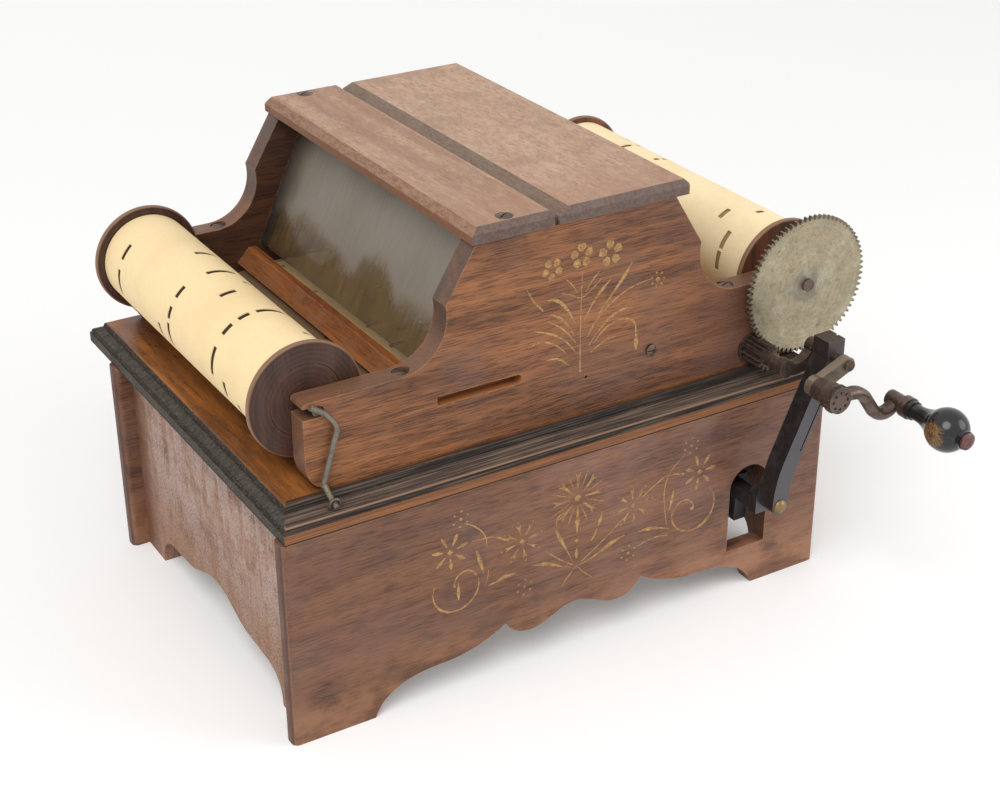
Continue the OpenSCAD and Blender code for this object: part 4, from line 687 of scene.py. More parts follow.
def metal(name, tone, stain, rusted, metallic=0.85, retouch=None):
    """An old metal; where it is rusty it is dull."""
    metals = bpy.context.scene.organette_metals
    material, tree, shader = start_finish(name)
    place = place_in_mm(tree)
    age_inputs = {"Place": place, "Metal": tone, "Stain": stain, "Rust": metals.rust, "Rusted": rusted}
    age = use_group(tree, "Metal age", age_inputs)
    seen = age["Color"]
    if retouch:
        seen = retouch(tree, seen)
    edge = use_group(tree, "Worn edges", {"Place": place, "Radius": METAL_WEAR})["Mask"]
    brighter = mixed(tree, 0.6, tone, WORN_METAL)
    seen = mixed(tree, multiply(tree, edge, 0.6), seen, brighter)
    put(tree, shader.inputs["Metallic"], between(tree, age["Rust"], 0.1, 0.6, metallic, metallic * 0.35))
    rough = reckon(tree, "ADD", age["Roughness"], multiply(tree, age["Rust"], 0.3))
    end_finish(tree, shader, seen, rough, age["Height"], 0.06 * MM)
    return material


def rod_tones(tree, tone):
    """The rod's front face is painted grey as a painted sheen on the black, and its head is brown."""
    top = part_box("connecting_rod")[1].z / MM
    axes = split(tree, place_in_mm(tree))
    # Painted sheen: the front face of the black rod, which faces the light, is lightened to grey
    front = between(tree, side_of(tree)["Y"], -0.5, -0.85, 0.0, 0.75)
    tone = mixed(tree, front, tone, (0.115, 0.112, 0.125))
    head = between(tree, axes["Z"], top - 22.0, top - 2.0, 0.0, 0.6)
    return mixed(tree, head, tone, (0.085, 0.058, 0.052))


def gear_stains(tree, tone):
    """A grey patch round the hub, blotches, turning marks, dark curls, and darker teeth."""
    low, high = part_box("spool_gear")
    middle = (low + high) / 2 / MM
    radius = (high.x - low.x) / 2 / MM
    place = place_in_mm(tree)
    distance = axis_distance(tree, split(tree, place), middle.x, middle.z)
    uneven = noise(tree, place, 0.13, 4.0, 0.7)
    ragged = plus(tree, distance, multiply(tree, uneven, 12.0))
    tone = mixed(tree, between(tree, ragged, 13.0, 18.0, 0.8, 0.0), tone, (0.21, 0.18, 0.15))
    blotches = noise(tree, place, 0.21, 5.0, 0.7, 1.2)
    tone = mixed(tree, between(tree, blotches, 0.46, 0.66, 0.0, 0.7), tone, (0.225, 0.205, 0.15))
    pale = noise(tree, place, 0.07, 3.0, 0.6)
    tone = mixed(tree, between(tree, pale, 0.5, 0.66, 0.0, 0.5), tone, (0.50, 0.45, 0.33))
    turned = multiply(tree, reckon(tree, "SINE", multiply(tree, distance, 1.9)), uneven)
    tone = mixed(tree, between(tree, turned, 0.28, 0.6, 0.0, 0.16), tone, (0.62, 0.58, 0.46))
    curls = noise(tree, place, 0.28, 2.0, 0.5, 3.0)
    tone = mixed(tree, multiply(tree, inside(tree, curls, 0.49, 0.512), 0.75), tone, (0.13, 0.10, 0.065))
    # Darker over the teeth, towards the rim
    teeth = between(tree, distance, radius - 3.0, radius - 0.6, 0.0, 0.8)
    return mixed(tree, teeth, tone, (0.14, 0.115, 0.08))


def knob_finish():
    """Black polish worn through to golden wood on the left."""
    low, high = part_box("crank_knob")
    middle_x = (low.x + high.x) / 2 / MM
    material, tree, shader = start_finish("Knob")
    place = place_in_mm(tree, ALONG_Y)
    axes = split(tree, place_in_mm(tree))
    spots = noise(tree, place, 0.28, 4.0, 0.65)
    specks = noise(tree, place, 1.1, 3.0, 0.7)
    left = between(tree, axes["X"], middle_x - 14.0, middle_x - 3.0, 1.0, 0.0)
    spotted = reckon(tree, "ADD", spots, multiply(tree, specks, 0.5))
    worn = between(tree, multiply(tree, left, spotted), 0.4, 0.62)
    grain = between(tree, noise(tree, place, 0.9), 0.4, 0.6)
    gold = mixed(tree, grain, (0.11, 0.055, 0.02), (0.27, 0.15, 0.055))
    tone = mixed(tree, multiply(tree, worn, 0.85), (0.014, 0.013, 0.014), gold)
    rough = between(tree, spots, 0.3, 0.7, 0.08, 0.26)
    end_finish(tree, shader, tone, reckon(tree, "ADD", rough, multiply(tree, worn, 0.2)), spots, 0.05 * MM)
    shader.inputs["Specular IOR Level"].default_value = 0.35
    put(tree, shader.inputs["Coat Weight"], between(tree, worn, 0.0, 1.0, 0.25, 0.05))
    return material


# Colour of the painted shade on the paper in the dark gap by the feed roll, up to its rail
GAP_SHADE = (0.075, 0.036, 0.016)


def paper_finish(name, tone, aged, browned, shaded_before=None):
    """Soft mottled paper with fine fibres, under painted shade to the left of shaded_before."""
    _, tree, shader = start_finish(name)
    place = place_in_mm(tree)
    clouds = noise(tree, place, 0.02, 4.0, 0.6)
    fibres = noise(tree, stretched(tree, place, (1.0, 0.35, 1.0)), 0.9, 3.0, 0.65)
    old = between(tree, clouds, 0.4, 0.7, browned, min(browned + 0.25, 1.0))
    seen = mixed(tree, old, tone, aged)
    seen = mixed(tree, between(tree, fibres, 0.52, 0.7, 0.0, 0.14), seen, aged)
    if shaded_before:
        edge = shaded_before / MM
        # Painted shade on the paper left of that edge, in the dark gap by the rail
        seen = mixed(tree, between(tree, split(tree, place)["X"], edge, edge + 6, 0.88, 0.0), seen, GAP_SHADE)
    end_finish(tree, shader, seen, between(tree, clouds, 0.3, 0.7, 0.72, 0.86), fibres, 0.03 * MM)


def cloth_finish():
    """Dark red cotton that follows its UV map, given in millimetres."""
    bellows = bpy.context.scene.organette_bellows
    _, tree, shader = start_finish("Bellows cloth")
    spot = add(tree, "UVMap", uv_map="Cut").outputs[0]
    weave = use_group(tree, "Woven", {"Place": spot, "Threads": 1.1})["Height"]
    faded = between(tree, noise(tree, spot, 0.05, 4.0, 0.6), 0.35, 0.7)
    tone = mixed(tree, faded, bellows.cloth, (0.24, 0.055, 0.055))
    tone = mixed(tree, multiply(tree, weave, 0.35), tone, (0.05, 0.01, 0.012))
    end_finish(tree, shader, tone, between(tree, faded, 0.0, 1.0, 0.75, 0.9), weave, 0.15 * MM)
    shader.inputs["Sheen Weight"].default_value = 0.25


def leather_finish():
    """Brown leather with a pebbled grain, dusty where it faces up."""
    bellows = bpy.context.scene.organette_bellows
    _, tree, shader = start_finish("Leather")
    place = place_in_mm(tree)
    cells = add(tree, "TexVoronoi", {"Vector": place, "Scale": 0.9}, feature="DISTANCE_TO_EDGE").outputs[0]
    grain = between(tree, cells, 0.0, 0.16)
    clouds = noise(tree, place, 0.08, 4.0, 0.6)
    tone = mixed(tree, between(tree, clouds, 0.35, 0.65), bellows.leather, (0.13, 0.075, 0.045))
    tone = mixed(tree, between(tree, grain, 0.0, 1.0, 0.35, 0.0), tone, (0.05, 0.03, 0.02))
    dust = use_group(tree, "Settled dust", {"Place": place, "Amount": 0.65})["Mask"]
    tone = mixed(tree, dust, tone, (0.26, 0.20, 0.155))
    end_finish(tree, shader, tone, between(tree, dust, 0.0, 1.0, 0.55, 0.85), grain, 0.1 * MM)


def glass_finish():
    """Old window glass with faint waves."""
    material, tree, shader = start_finish("Glass")
    waves = noise(tree, place_in_mm(tree), 0.03)
    end_finish(tree, shader, (0.93, 0.95, 0.92), between(tree, waves, 0.3, 0.7, 0.02, 0.07), waves, 0.05 * MM)
    shader.inputs["Transmission Weight"].default_value = 1.0
    shader.inputs["IOR"].default_value = 1.5
    return material


def window_film_finish():
    """Grey dust on the glass, thin and warm low down, with a dark smear towards the back."""
    _, tree, shader = start_finish("Window dust")
    low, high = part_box("window_glass")
    place = place_in_mm(tree)
    axes = split(tree, place)
    clouds = noise(tree, place, 0.024, 2.0, 0.45, 0.2)
    runs = noise(tree, stretched(tree, place, (0.06, 0.5, 0.06)), 1.0, 3.0, 0.6)
    height = reckon(tree, "DIVIDE", reckon(tree, "SUBTRACT", axes["Z"], low.z / MM), (high.z - low.z) / MM)
    ragged = plus(tree, plus(tree, height, multiply(tree, clouds, 0.5)), multiply(tree, runs, 0.16))
    upper = between(tree, ragged, 0.52, 0.74)
    from_back = reckon(tree, "SUBTRACT", back_high.y / MM, axes["Y"])
    smear_edge = reckon(tree, "SUBTRACT", from_back, multiply(tree, clouds, 34.0))
    smear = between(tree, smear_edge, -22.0, -4.0, 1.0, 0.0)
    grey = mixed(tree, between(tree, runs, 0.3, 0.7), (0.24, 0.205, 0.165), (0.215, 0.185, 0.148))
    grey = mixed(tree, multiply(tree, smear, 0.7), grey, (0.075, 0.055, 0.038))
    warm = mixed(tree, between(tree, runs, 0.4, 0.6), (0.26, 0.155, 0.055), (0.12, 0.075, 0.035))
    warm = mixed(tree, smear, warm, (0.055, 0.040, 0.028))
    tone = mixed(tree, upper, warm, grey)
    end_finish(tree, shader, tone, between(tree, clouds, 0.3, 0.7, 0.35, 0.6), clouds, 0.02 * MM)
    cover = reckon(tree, "MAXIMUM", multiply(tree, smear, 0.6), between(tree, upper, 0.0, 1.0, 0.3, 0.93))
    put(tree, shader.inputs["Alpha"], cover)


def gilt_finish():
    """Bronze powder paint, rubbed away in places along the grain."""
    gilt = bpy.context.scene.organette_gilt
    _, tree, shader = start_finish("Gilt")
    place = place_in_mm(tree)
    rubbed = noise(tree, stretched(tree, place, (0.25, 1.0, 1.5)), 0.8, 4.0, 0.7)
    clouds = noise(tree, place, 0.35, 3.0, 0.6)
    tone = mixed(tree, between(tree, clouds, 0.35, 0.65), gilt.tone, (0.29, 0.15, 0.055))
    cut = 0.30 + 0.3 * gilt.worn
    left = between(tree, rubbed, cut - 0.03, cut + 0.08)
    tone = mixed(tree, left, (0.17, 0.08, 0.042), tone)
    end_finish(tree, shader, tone, between(tree, clouds, 0.3, 0.7, 0.42, 0.6), rubbed, 0.02 * MM)
    put(tree, shader.inputs["Metallic"], multiply(tree, left, 0.2))


def dress(material, *names):
    """Give CAD nodes or pieces that material."""
    for name in names:
        piece = frame["nodes"].get(name) or bpy.data.objects[name]
        if not piece.material_slots:
            piece.data.materials.append(material)
        for slot in piece.material_slots:
            slot.material = material


# Modelling helpers

def deselect():
    """Operators act on all that is selected, so each piece starts with nothing selected."""
    bpy.ops.object.select_all(action="DESELECT")


def latest(name):
    """The object that an operator has just made, under its own name."""
    made = bpy.context.view_layer.objects.active
    made.name = name
    made.data.name = name
    return made


def placed(name, data):
    """A new object in the scene that holds those data."""
    made = bpy.data.objects.new(name, data)
    bpy.context.scene.collection.objects.link(made)
    return made


def placed_mesh(name, mesh):
    """A new piece in the scene with that mesh, which is used up."""
    data = bpy.data.meshes.new(name)
    mesh.to_mesh(data)
    mesh.free()
    return placed(name, data)


def only(piece):
    """Make a piece the only one selected, and the active one."""
    deselect()
    piece.select_set(True)
    bpy.context.view_layer.objects.active = piece


def apply_modifier(piece, kind, **settings):
    """Add a modifier to a piece and apply it at once."""
    only(piece)
    modifier = piece.modifiers.new(kind.title(), kind)
    for name, value in settings.items():
        setattr(modifier, name, value)
    bpy.ops.object.modifier_apply(modifier=modifier.name)


def settle(piece):
    """Put the piece's place into its mesh, merge doubles and face it outwards."""
    only(piece)
    bpy.ops.object.transform_apply(location=True, rotation=True, scale=True)
    bpy.ops.object.mode_set(mode="EDIT")
    bpy.ops.mesh.select_all(action="SELECT")
    bpy.ops.mesh.remove_doubles(threshold=0.00001)
    bpy.ops.mesh.normals_make_consistent(inside=False)
    bpy.ops.object.mode_set(mode="OBJECT")


def copy_of(node, name):
    """A free piece with the shape of a CAD node."""
    only(frame["nodes"][node])
    bpy.ops.object.duplicate()
    made = latest(name)
    for key in list(made.keys()):
        del made[key]
    made.parent = None
    settle(made)
    return made


def smooth(piece, degrees):
    """Shade a piece smooth, but for edges that are sharper than that."""
    only(piece)
    bpy.ops.object.shade_smooth_by_angle(angle=math.radians(degrees))


def joined(pieces, name):
    """Several pieces as one."""
    deselect()
    for piece in pieces:
        piece.select_set(True)
    bpy.context.view_layer.objects.active = pieces[0]
    bpy.ops.object.join()
    return latest(name)


def cut_with(piece, cutters):
    """Cut several blocks out of a piece."""
    knife = joined(cutters, "slot_cutters")
    apply_modifier(piece, "BOOLEAN", object=knife, operation="DIFFERENCE", solver="EXACT", use_self=True)
    bpy.data.objects.remove(knife)


def tube(name, middle, radius, width, wall, sides=128):
    """An open-ended tube along Y with a wall that grows inwards."""
    deselect()
    bpy.ops.mesh.primitive_cylinder_add(
        vertices=sides, radius=radius, depth=width, end_fill_type="NOTHING",
        location=middle, rotation=(math.pi / 2, 0, 0),
    )
    made = latest(name)
    settle(made)
    apply_modifier(made, "SOLIDIFY", thickness=wall, offset=-1.0, use_even_offset=True)
    return made


# Paper

# Slots on the front of the feed roll: note, first angle and sweep in degrees
FEED_TUNE = (
    (12, 131, 21), (12, 165, 35), (12, 214, 14), (9, 49, 34), (8, 185, 27), (7, 55, 40), (7, 125, 16),
    (7, 153, 15), (7, 173, 34), (5, 86, 20), (3, 44, 46), (3, 98, 14), (3, 121, 15), (3, 152, 34),
    (2, 181, 20), (1, 196, 22),
)

# Notes in each row where the tune is left to chance
NOTES_AT_ONCE = 3

# Radius of the wound paper's hole, round the spool's core
CORE_RADIUS = 8.2 * MM


def hidden_tune(start, end, seed):
    """Slots for the side of a roll that the front view doesn't show."""
    chance = random.Random(seed)
    tune = []
    for angle in range(start, end, 26):
        for note in chance.sample(range(1, 13), NOTES_AT_ONCE):
            tune.append((note, angle + chance.uniform(0, 10), chance.uniform(8, 24)))
    return tune


def slot_cutter(middle, radius, note_y, width, start, sweep):
    """A curved block across the paper, from start degrees on over sweep degrees."""
    deselect()
    depth = 1.6 * MM
    bpy.ops.mesh.primitive_plane_add(size=1.0, location=(middle.x + radius, note_y, middle.z))
    cutter = latest("slot_cutter")
    cutter.scale = (2 * depth, width, 1.0)
    bpy.ops.object.transform_apply(location=True, rotation=True, scale=True)
    bpy.ops.object.mode_set(mode="EDIT")
    bpy.ops.mesh.select_all(action="SELECT")
    bpy.ops.mesh.spin(
        steps=max(2, round(sweep / 5)), angle=math.radians(sweep), center=middle, axis=(0.0, 1.0, 0.0)
    )
    bpy.ops.mesh.select_all(action="SELECT")
    bpy.ops.mesh.normals_make_consistent(inside=False)
    bpy.ops.object.mode_set(mode="OBJECT")
    turn = Matrix.Rotation(-math.radians(start), 4, "Y")
    cutter.data.transform(Matrix.Translation(middle) @ turn @ Matrix.Translation(-middle))
    return cutter


def make_roll(node, body, tune, outer_finish, inner_finish):
    """Replace a plain roll with its perforated outer turn over the wound paper."""
    paper = bpy.context.scene.organette_paper
    low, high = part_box(node)
    middle = (low + high) / 2
    radius = (high.x - low.x) / 2
    width = high.y - low.y
    pitch = width / paper.notes
    outer = tube(node + "_outer_turn", middle, radius, width, paper.thickness)
    cut_with(outer, [
        slot_cutter(middle, radius, low.y + (note + 0.5) * pitch, paper.slot_width, start, sweep)
        for note, start, sweep in tune
    ])
    inner_radius = radius - paper.thickness - paper.gap
    inner = tube(node + "_wound_turns", middle, inner_radius, width, inner_radius - CORE_RADIUS)
    for piece, finish in ((outer, outer_finish), (inner, inner_finish)):
        smooth(piece, 25)
        dress(bpy.data.materials[finish], piece.name)
        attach(piece, body)
    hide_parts(node)


class ORGANETTE_OT_paper_rolls(bpy.types.Operator):
    """Wind the perforated paper on both spools"""

    bl_idname = "organette.paper_rolls"
    bl_label = "Paper rolls"

    def execute(self, context):
        feed_tune = list(FEED_TUNE) + hidden_tune(235, 395, 3)
        make_roll("feed_paper", "feed", feed_tune, "Paper", "Shaded paper")
        make_roll("takeup_paper", "takeup", hidden_tune(0, 350, 11), "Painted lit paper", "Painted take-up slot shade")
        return {"FINISHED"}


class ORGANETTE_OT_paper_web(bpy.types.Operator):
    """Stretch the perforated paper between the spools, over the tracker board"""

    bl_idname = "organette.paper_web"
    bl_label = "Paper between the spools"

    def execute(self, context):
        web = copy_of("paper_web", "paper_stretch")
        cut_with(web, self.slot_blocks(context.scene.organette_paper))
        dress(bpy.data.materials["Aged paper"], web.name)
        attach(web, "root")
        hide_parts("paper_web")
        return {"FINISHED"}

    def slot_blocks(self, paper):
        """Blocks through the paper at random notes, in rows from left to right."""
        low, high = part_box("paper_web")
        pitch = (high.y - low.y) / paper.notes
        margin = 40 * MM
        row_gap = 13 * MM
        block_height = 12 * MM
        paper_z = BASE_H + 34 * MM
        chance = random.Random(7)
        blocks = []
        x = low.x + margin
        while x < high.x - margin:
            for note in chance.sample(range(paper.notes), NOTES_AT_ONCE):
                slot_length = chance.uniform(5, 15) * MM
                deselect()
                spot = (x + chance.uniform(0, 6) * MM, low.y + (note + 0.5) * pitch, paper_z)
                bpy.ops.mesh.primitive_cube_add(size=1.0, location=spot)
                made = latest("slot_cutter")
                made.scale = (slot_length, paper.slot_width, block_height)
                bpy.ops.object.transform_apply(location=True, rotation=True, scale=True)
                blocks.append(made)
            x += row_gap
        return blocks


# Gilt sprays

def new_brush(name):
    """An empty curve whose strokes are round and as wide as their points say."""
    data = bpy.data.curves.new(name, "CURVE")
    data.dimensions = "3D"
    data.bevel_depth = MM / 2
    data.bevel_resolution = 1
    data.resolution_u = 5
    data.use_fill_caps = True
    return placed(name, data)


def stroke(brush, points, widths):
    """A tapered stroke through points given as millimetres across and up."""
    spline = brush.data.splines.new("BEZIER")
    spline.bezier_points.add(len(points) - 1)
    for spot, (x, z), width in zip(spline.bezier_points, points, widths):
        spot.co = (x * MM, 0.0, z * MM)
        spot.handle_left_type = "AUTO"
        spot.handle_right_type = "AUTO"
        spot.radius = width


def around(centre, reach, angle):
    """The point that lies that far from the centre, at an angle in radians."""
    return (centre[0] + reach * math.cos(angle), centre[1] + reach * math.sin(angle))


def petal(brush, centre, angle, start, end, width, forked=False):
    """A petal that points away from the centre, widest towards its tip."""
    points = [around(centre, reach, angle) for reach in (start, start + 0.62 * (end - start), end)]
    stroke(brush, points, [0.25 * width, width, 0.3 * width])
    if forked:
        outward = around(points[2], 0.8, angle)
        for side in (-1, 1):
            tip = around(outward, 0.75 * width, angle + side * math.pi / 2)
            stroke(brush, [points[1], tip], [0.6 * width, 0.3 * width])


def dot(brush, centre, width):
    """A round spot."""
    x, z = centre
    reach = 0.42 * width
    stroke(brush, [(x - reach, z), (x, z), (x + reach, z)], [0.35 * width, width, 0.35 * width])


def flower(brush, centre, petals, start, end, width, turn=0.0, forked=False):
    """A ring of petals from start to end millimetres from the centre."""
    for number in range(petals):
        petal(brush, centre, turn + number * FULL_TURN / petals, start, end, width, forked)


def blossom(brush, centre, petals, reach, width, turn):
    """A head of broad round petals about an open middle."""
    for number in range(petals):
        angle = turn + number * FULL_TURN / petals
        points = [around(centre, share_out * reach, angle) for share_out in (0.34, 0.7, 1.0)]
        stroke(brush, points, [0.45 * width, width, 0.7 * width])


def little_flower(brush, centre):
    """Six small spots round a larger one."""
    dot(brush, centre, 2.2)
    for number in range(6):
        dot(brush, around(centre, 4.4, number * FULL_TURN / 6 + 0.4), 1.5)


def arc(centre, radius, start, end, steps=9):
    """Points on a circle from start to end degrees."""
    angles = [math.radians(start + (end - start) * i / (steps - 1)) for i in range(steps)]
    return [around(centre, radius, angle) for angle in angles]


def finish_spray(brush, face_y, name):
    """Flatten the strokes into paint that stands out of an upright face and sinks half as far into it."""
    relief = bpy.context.scene.organette_gilt.relief
    full_relief_at = 0.25 * MM
    only(brush)
    bpy.ops.object.convert(target="MESH")
    spray = latest(name)
    for vertex in spray.data.vertices:
        flat = relief if vertex.co.y < 0 else -relief / 2
        share_out = min(1.0, abs(vertex.co.y) / full_relief_at)
        vertex.co.y = face_y - flat * share_out + 0.02 * vertex.co.y
        vertex.co.x += MIDDLE_X
    settle(spray)
    smooth(spray, 60)
    dress(bpy.data.materials["Gilt"], spray.name)
    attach(spray, "root")


# Strokes of the sprays: points in millimetres across from the middle and up, and the width at each

PANEL_FOOT = (1.0, 50.6)
PANEL_STROKES = (
    # Stem of the daisy, and twigs below the foot
    ([(1.1, 82.0), (1.1, 77.5), (1.0, 70.5)], [0.6, 2.2, 0.5]),
    ([(0.9, 61.5), (0.8, 58.5), (0.8, 55.0)], [0.6, 2.0, 1.4]),
    ([(-8.1, 41.2), (-3.0, 46.8), PANEL_FOOT], [0.7, 0.8, 0.6]),
    ([(10.8, 40.4), (6.0, 44.6), PANEL_FOOT], [0.7, 0.8, 0.6]),
    # Small curls on both sides of that stem
    ([(-12.2, 76.5), (-9.5, 70.5), (-5.3, 62.4), (-1.5, 54.0)], [1.2, 2.6, 0.8, 0.4]),
    ([(-12.0, 79.0), (-11.0, 83.5), (-7.0, 85.5)], [0.5, 0.8, 1.6]),
    ([(16.6, 78.0), (15.2, 73.5), (14.2, 71.0)], [1.4, 2.4, 0.9]),
    ([(13.4, 69.5), (12.2, 66.5), (10.0, 63.0)], [0.8, 1.8, 0.5]),
    # Stems
    ([(-40.5, 79.5), (-48.7, 84.4), (-61.8, 86.2)], [1.5, 1.0, 0.5]),
    ([(-66.0, 98.0), (-60.2, 94.3), (-54.6, 87.4), (-53.2, 79.5)], [0.7, 1.0, 0.8, 0.5]),
    ([(42.0, 79.5), (48.9, 83.8), (58.0, 87.5), (69.0, 85.6)], [0.6, 1.2, 0.9, 1.5]),
    ([(68.9, 97.0), (60.0, 89.5), (56.6, 80.5), (57.3, 66.0), (58.8, 57.0)], [0.6, 0.8, 0.8, 0.7, 0.5]),
    ([(30.0, 70.0), (18.2, 61.4), (4.2, 52.4)], [0.6, 0.9, 0.7]),
    ([(-18.5, 66.0), (-9.0, 57.5), (-1.0, 51.6)], [0.5, 0.9, 0.6]),
    # Leaves that fan out of the foot
    ([(31.6, 59.6), (22.0, 57.2), (12.0, 52.9), (3.2, 50.6)], [0.6, 3.0, 1.3, 0.5]),
    ([(-26.8, 60.0), (-18.6, 58.2), (-10.0, 54.2), (-3.1, 51.0)], [0.6, 2.8, 1.2, 0.5]),
    ([(40.0, 58.9), (47.0, 58.4), (54.0, 56.6), (60.4, 54.2)], [0.6, 2.8, 1.3, 0.5]),
    ([(-36.4, 58.8), (-43.0, 58.6), (-48.5, 57.4), (-53.0, 56.6)], [0.6, 2.8, 1.2, 0.5]),
    ([(60.2, 50.1), (51.4, 51.6), (40.0, 50.0)], [0.5, 0.9, 0.5]),
    ([(62.6, 78.5), (61.6, 72.0), (60.0, 65.6)], [0.6, 2.2, 0.6]),
    ([(-59.6, 80.0), (-57.6, 73.5), (-55.4, 65.0)], [0.6, 3.0, 0.6]),
    ([(-52.5, 66.0), (-53.2, 61.5), (-54.5, 58.0)], [0.5, 1.0, 0.5]),
    # Scrolls at both ends
    (arc((-71.6, 61.5), 13.4, 158, 372), [0.5, 0.8, 1.2, 1.6, 1.0, 1.4, 1.0, 0.8, 0.5]),
    (arc((-66.0, 63.5), 6.6, 10, 190), [0.5, 0.9, 1.0, 1.1, 1.0, 0.9, 0.9, 0.8, 1.6]),
    (arc((76.0, 62.5), 14.2, 168, 400), [0.6, 1.0, 1.4, 1.2, 1.5, 2.2, 1.0, 0.7, 0.5]),
    (arc((69.6, 62.4), 6.6, 185, -5), [0.5, 0.9, 1.2, 1.3, 1.2, 1.0, 0.9, 0.9, 1.4]),
)

CHEEK_STROKES = (
    # Stems of the three heads
    ([(14.3, 152.5), (14.2, 172.0), (14.4, 190.0), (14.8, 208.0)], [1.0, 0.7, 0.7, 0.5]),
    ([(12.0, 197.2), (9.0, 201.8), (5.4, 205.8)], [0.6, 0.9, 0.5]),
    ([(17.0, 196.4), (20.6, 201.4), (25.0, 205.6)], [0.6, 0.9, 0.5]),
    ([(2.5, 199.0), (8.5, 196.5), (14.3, 193.8), (20.0, 196.5), (26.5, 201.5)], [0.4, 0.9, 0.7, 0.9, 0.4]),
    # Leaves to the right
    ([(44.9, 206.0), (40.6, 200.0), (34.0, 192.4), (24.5, 181.0), (18.5, 171.0)], [0.5, 2.4, 1.5, 1.0, 0.5]),
    ([(31.8, 199.6), (27.6, 196.0), (22.4, 190.5), (16.4, 180.6)], [0.5, 2.3, 1.4, 0.5]),
    ([(46.0, 181.0), (39.5, 181.2), (32.5, 178.6), (24.5, 172.2), (19.4, 165.8)], [0.5, 1.3, 1.9, 1.1, 0.5]),
    ([(36.0, 167.2), (31.0, 166.8), (26.5, 165.0), (20.3, 161.8)], [0.5, 1.9, 1.3, 0.5]),
    ([(20.6, 174.0), (28.0, 183.0), (37.1, 189.2), (47.5, 193.0), (57.5, 194.2)], [0.5, 0.8, 1.0, 1.0, 0.7]),
    (
        [(22.4, 166.6), (27.5, 171.8), (34.5, 175.2), (43.0, 175.2), (47.6, 171.8), (48.6, 166.0)],
        [0.5, 0.9, 1.1, 1.2, 1.1, 0.9],
    ),
    ([(48.6, 165.6), (48.8, 161.0), (48.8, 156.0)], [1.2, 3.4, 1.0]),
    # Leaves to the left
    ([(-5.6, 197.0), (-0.5, 195.8), (4.9, 190.8), (11.0, 180.6)], [0.5, 2.0, 2.1, 0.5]),
    ([(-17.6, 205.4), (-13.4, 198.0), (-8.0, 191.8)], [0.5, 1.2, 1.0]),
    ([(-4.0, 189.0), (1.8, 185.6), (6.5, 180.6), (10.8, 173.4)], [0.8, 1.8, 1.0, 0.5]),
    ([(-5.2, 185.4), (3.4, 179.2), (11.4, 169.8)], [0.5, 1.1, 0.5]),
    ([(-13.4, 182.0), (-2.6, 177.6), (5.5, 171.6), (11.4, 164.4)], [0.6, 1.5, 1.0, 0.5]),
    ([(-16.9, 173.8), (-9.2, 174.8), (-1.0, 171.4), (5.8, 165.0)], [0.6, 1.2, 1.1, 0.5]),
    ([(-6.4, 164.0), (0.6, 163.2), (7.6, 157.8)], [0.5, 1.6, 0.5]),
)


class ORGANETTE_OT_panel_spray(bpy.types.Operator):
    """Paint the gilt spray on the front panel"""

    bl_idname = "organette.panel_spray"
    bl_label = "Spray on the front panel"

    def execute(self, context):
        brush = new_brush("panel_spray")
        for points, widths in PANEL_STROKES:
            stroke(brush, points, widths)
        # Daisy in the middle
        daisy = (1.2, 91.7)
        upright = math.pi / 2
        dot(brush, daisy, 4.6)
        flower(brush, daisy, petals=8, start=4.6, end=14.0, width=1.9, turn=upright, forked=True)
        flower(brush, daisy, petals=8, start=5.2, end=17.5, width=0.7, turn=upright + math.pi / 8)
        dot(brush, (0.8, 66.2), 2.6)
        # Flowers beside it
        for centre, turn in (((-32.6, 76.4), 0.2), ((36.3, 76.2), 0.1)):
            dot(brush, centre, 3.4)
            flower(brush, centre, petals=8, start=3.8, end=9.4, width=1.5, turn=turn, forked=True)
            flower(brush, centre, petals=8, start=11.6, end=12.6, width=1.3, turn=turn)
        # Bold flowers at both ends
        for centre, turn in (((-74.6, 83.9), 1.15), ((79.3, 83.8), 0.95)):
            dot(brush, centre, 3.6)
            flower(brush, centre, petals=7, start=3.8, end=10.6, width=2.5, turn=turn)
        for centre in ((-68.2, 101.2), (73.0, 101.6), (-31.1, 48.4), (33.9, 47.5)):
            little_flower(brush, centre)
        # Buds in the scrolls
        petal(brush, (-70.2, 64.5), -upright, start=0.0, end=10.5, width=2.0)
        dot(brush, (75.4, 62.4), 3.0)
        finish_spray(brush, panel_low.y, "panel_spray")
        return {"FINISHED"}


class ORGANETTE_OT_cheek_bouquet(bpy.types.Operator):
    """Paint the gilt bouquet on the front cheek"""

    bl_idname = "organette.cheek_bouquet"
    bl_label = "Bouquet on the front cheek"

    def execute(self, context):
        brush = new_brush("cheek_bouquet")
        for points, widths in CHEEK_STROKES:
            stroke(brush, points, widths)
        # Spots on the middle stem
        dot(brush, (14.2, 166.5), 1.6)
        dot(brush, (14.3, 153.0), 2.0)
        # Three heads, each of fat petals round an open middle
        blossom(brush, (14.3, 216.6), petals=5, reach=6.6, width=5.4, turn=math.pi / 2)
        blossom(brush, (31.6, 214.2), petals=5, reach=7.0, width=5.6, turn=0.4)
        blossom(brush, (-3.0, 213.0), petals=5, reach=6.0, width=4.8, turn=0.9)
        # Small flower at the tip of the longest leaf
        dot(brush, (61.3, 193.0), 3.4)
        flower(brush, (61.3, 193.0), petals=7, start=3.0, end=4.6, width=1.5)
        finish_spray(brush, cheek_low.y, "cheek_bouquet")
        return {"FINISHED"}


# Cloth and leather

def hinge_of(joint_name):
    """Where a joint's axis lies."""
    joint = next(j for j in frame["joints"] if j["name"] == joint_name)
    return Vector(joint["pos_m"])


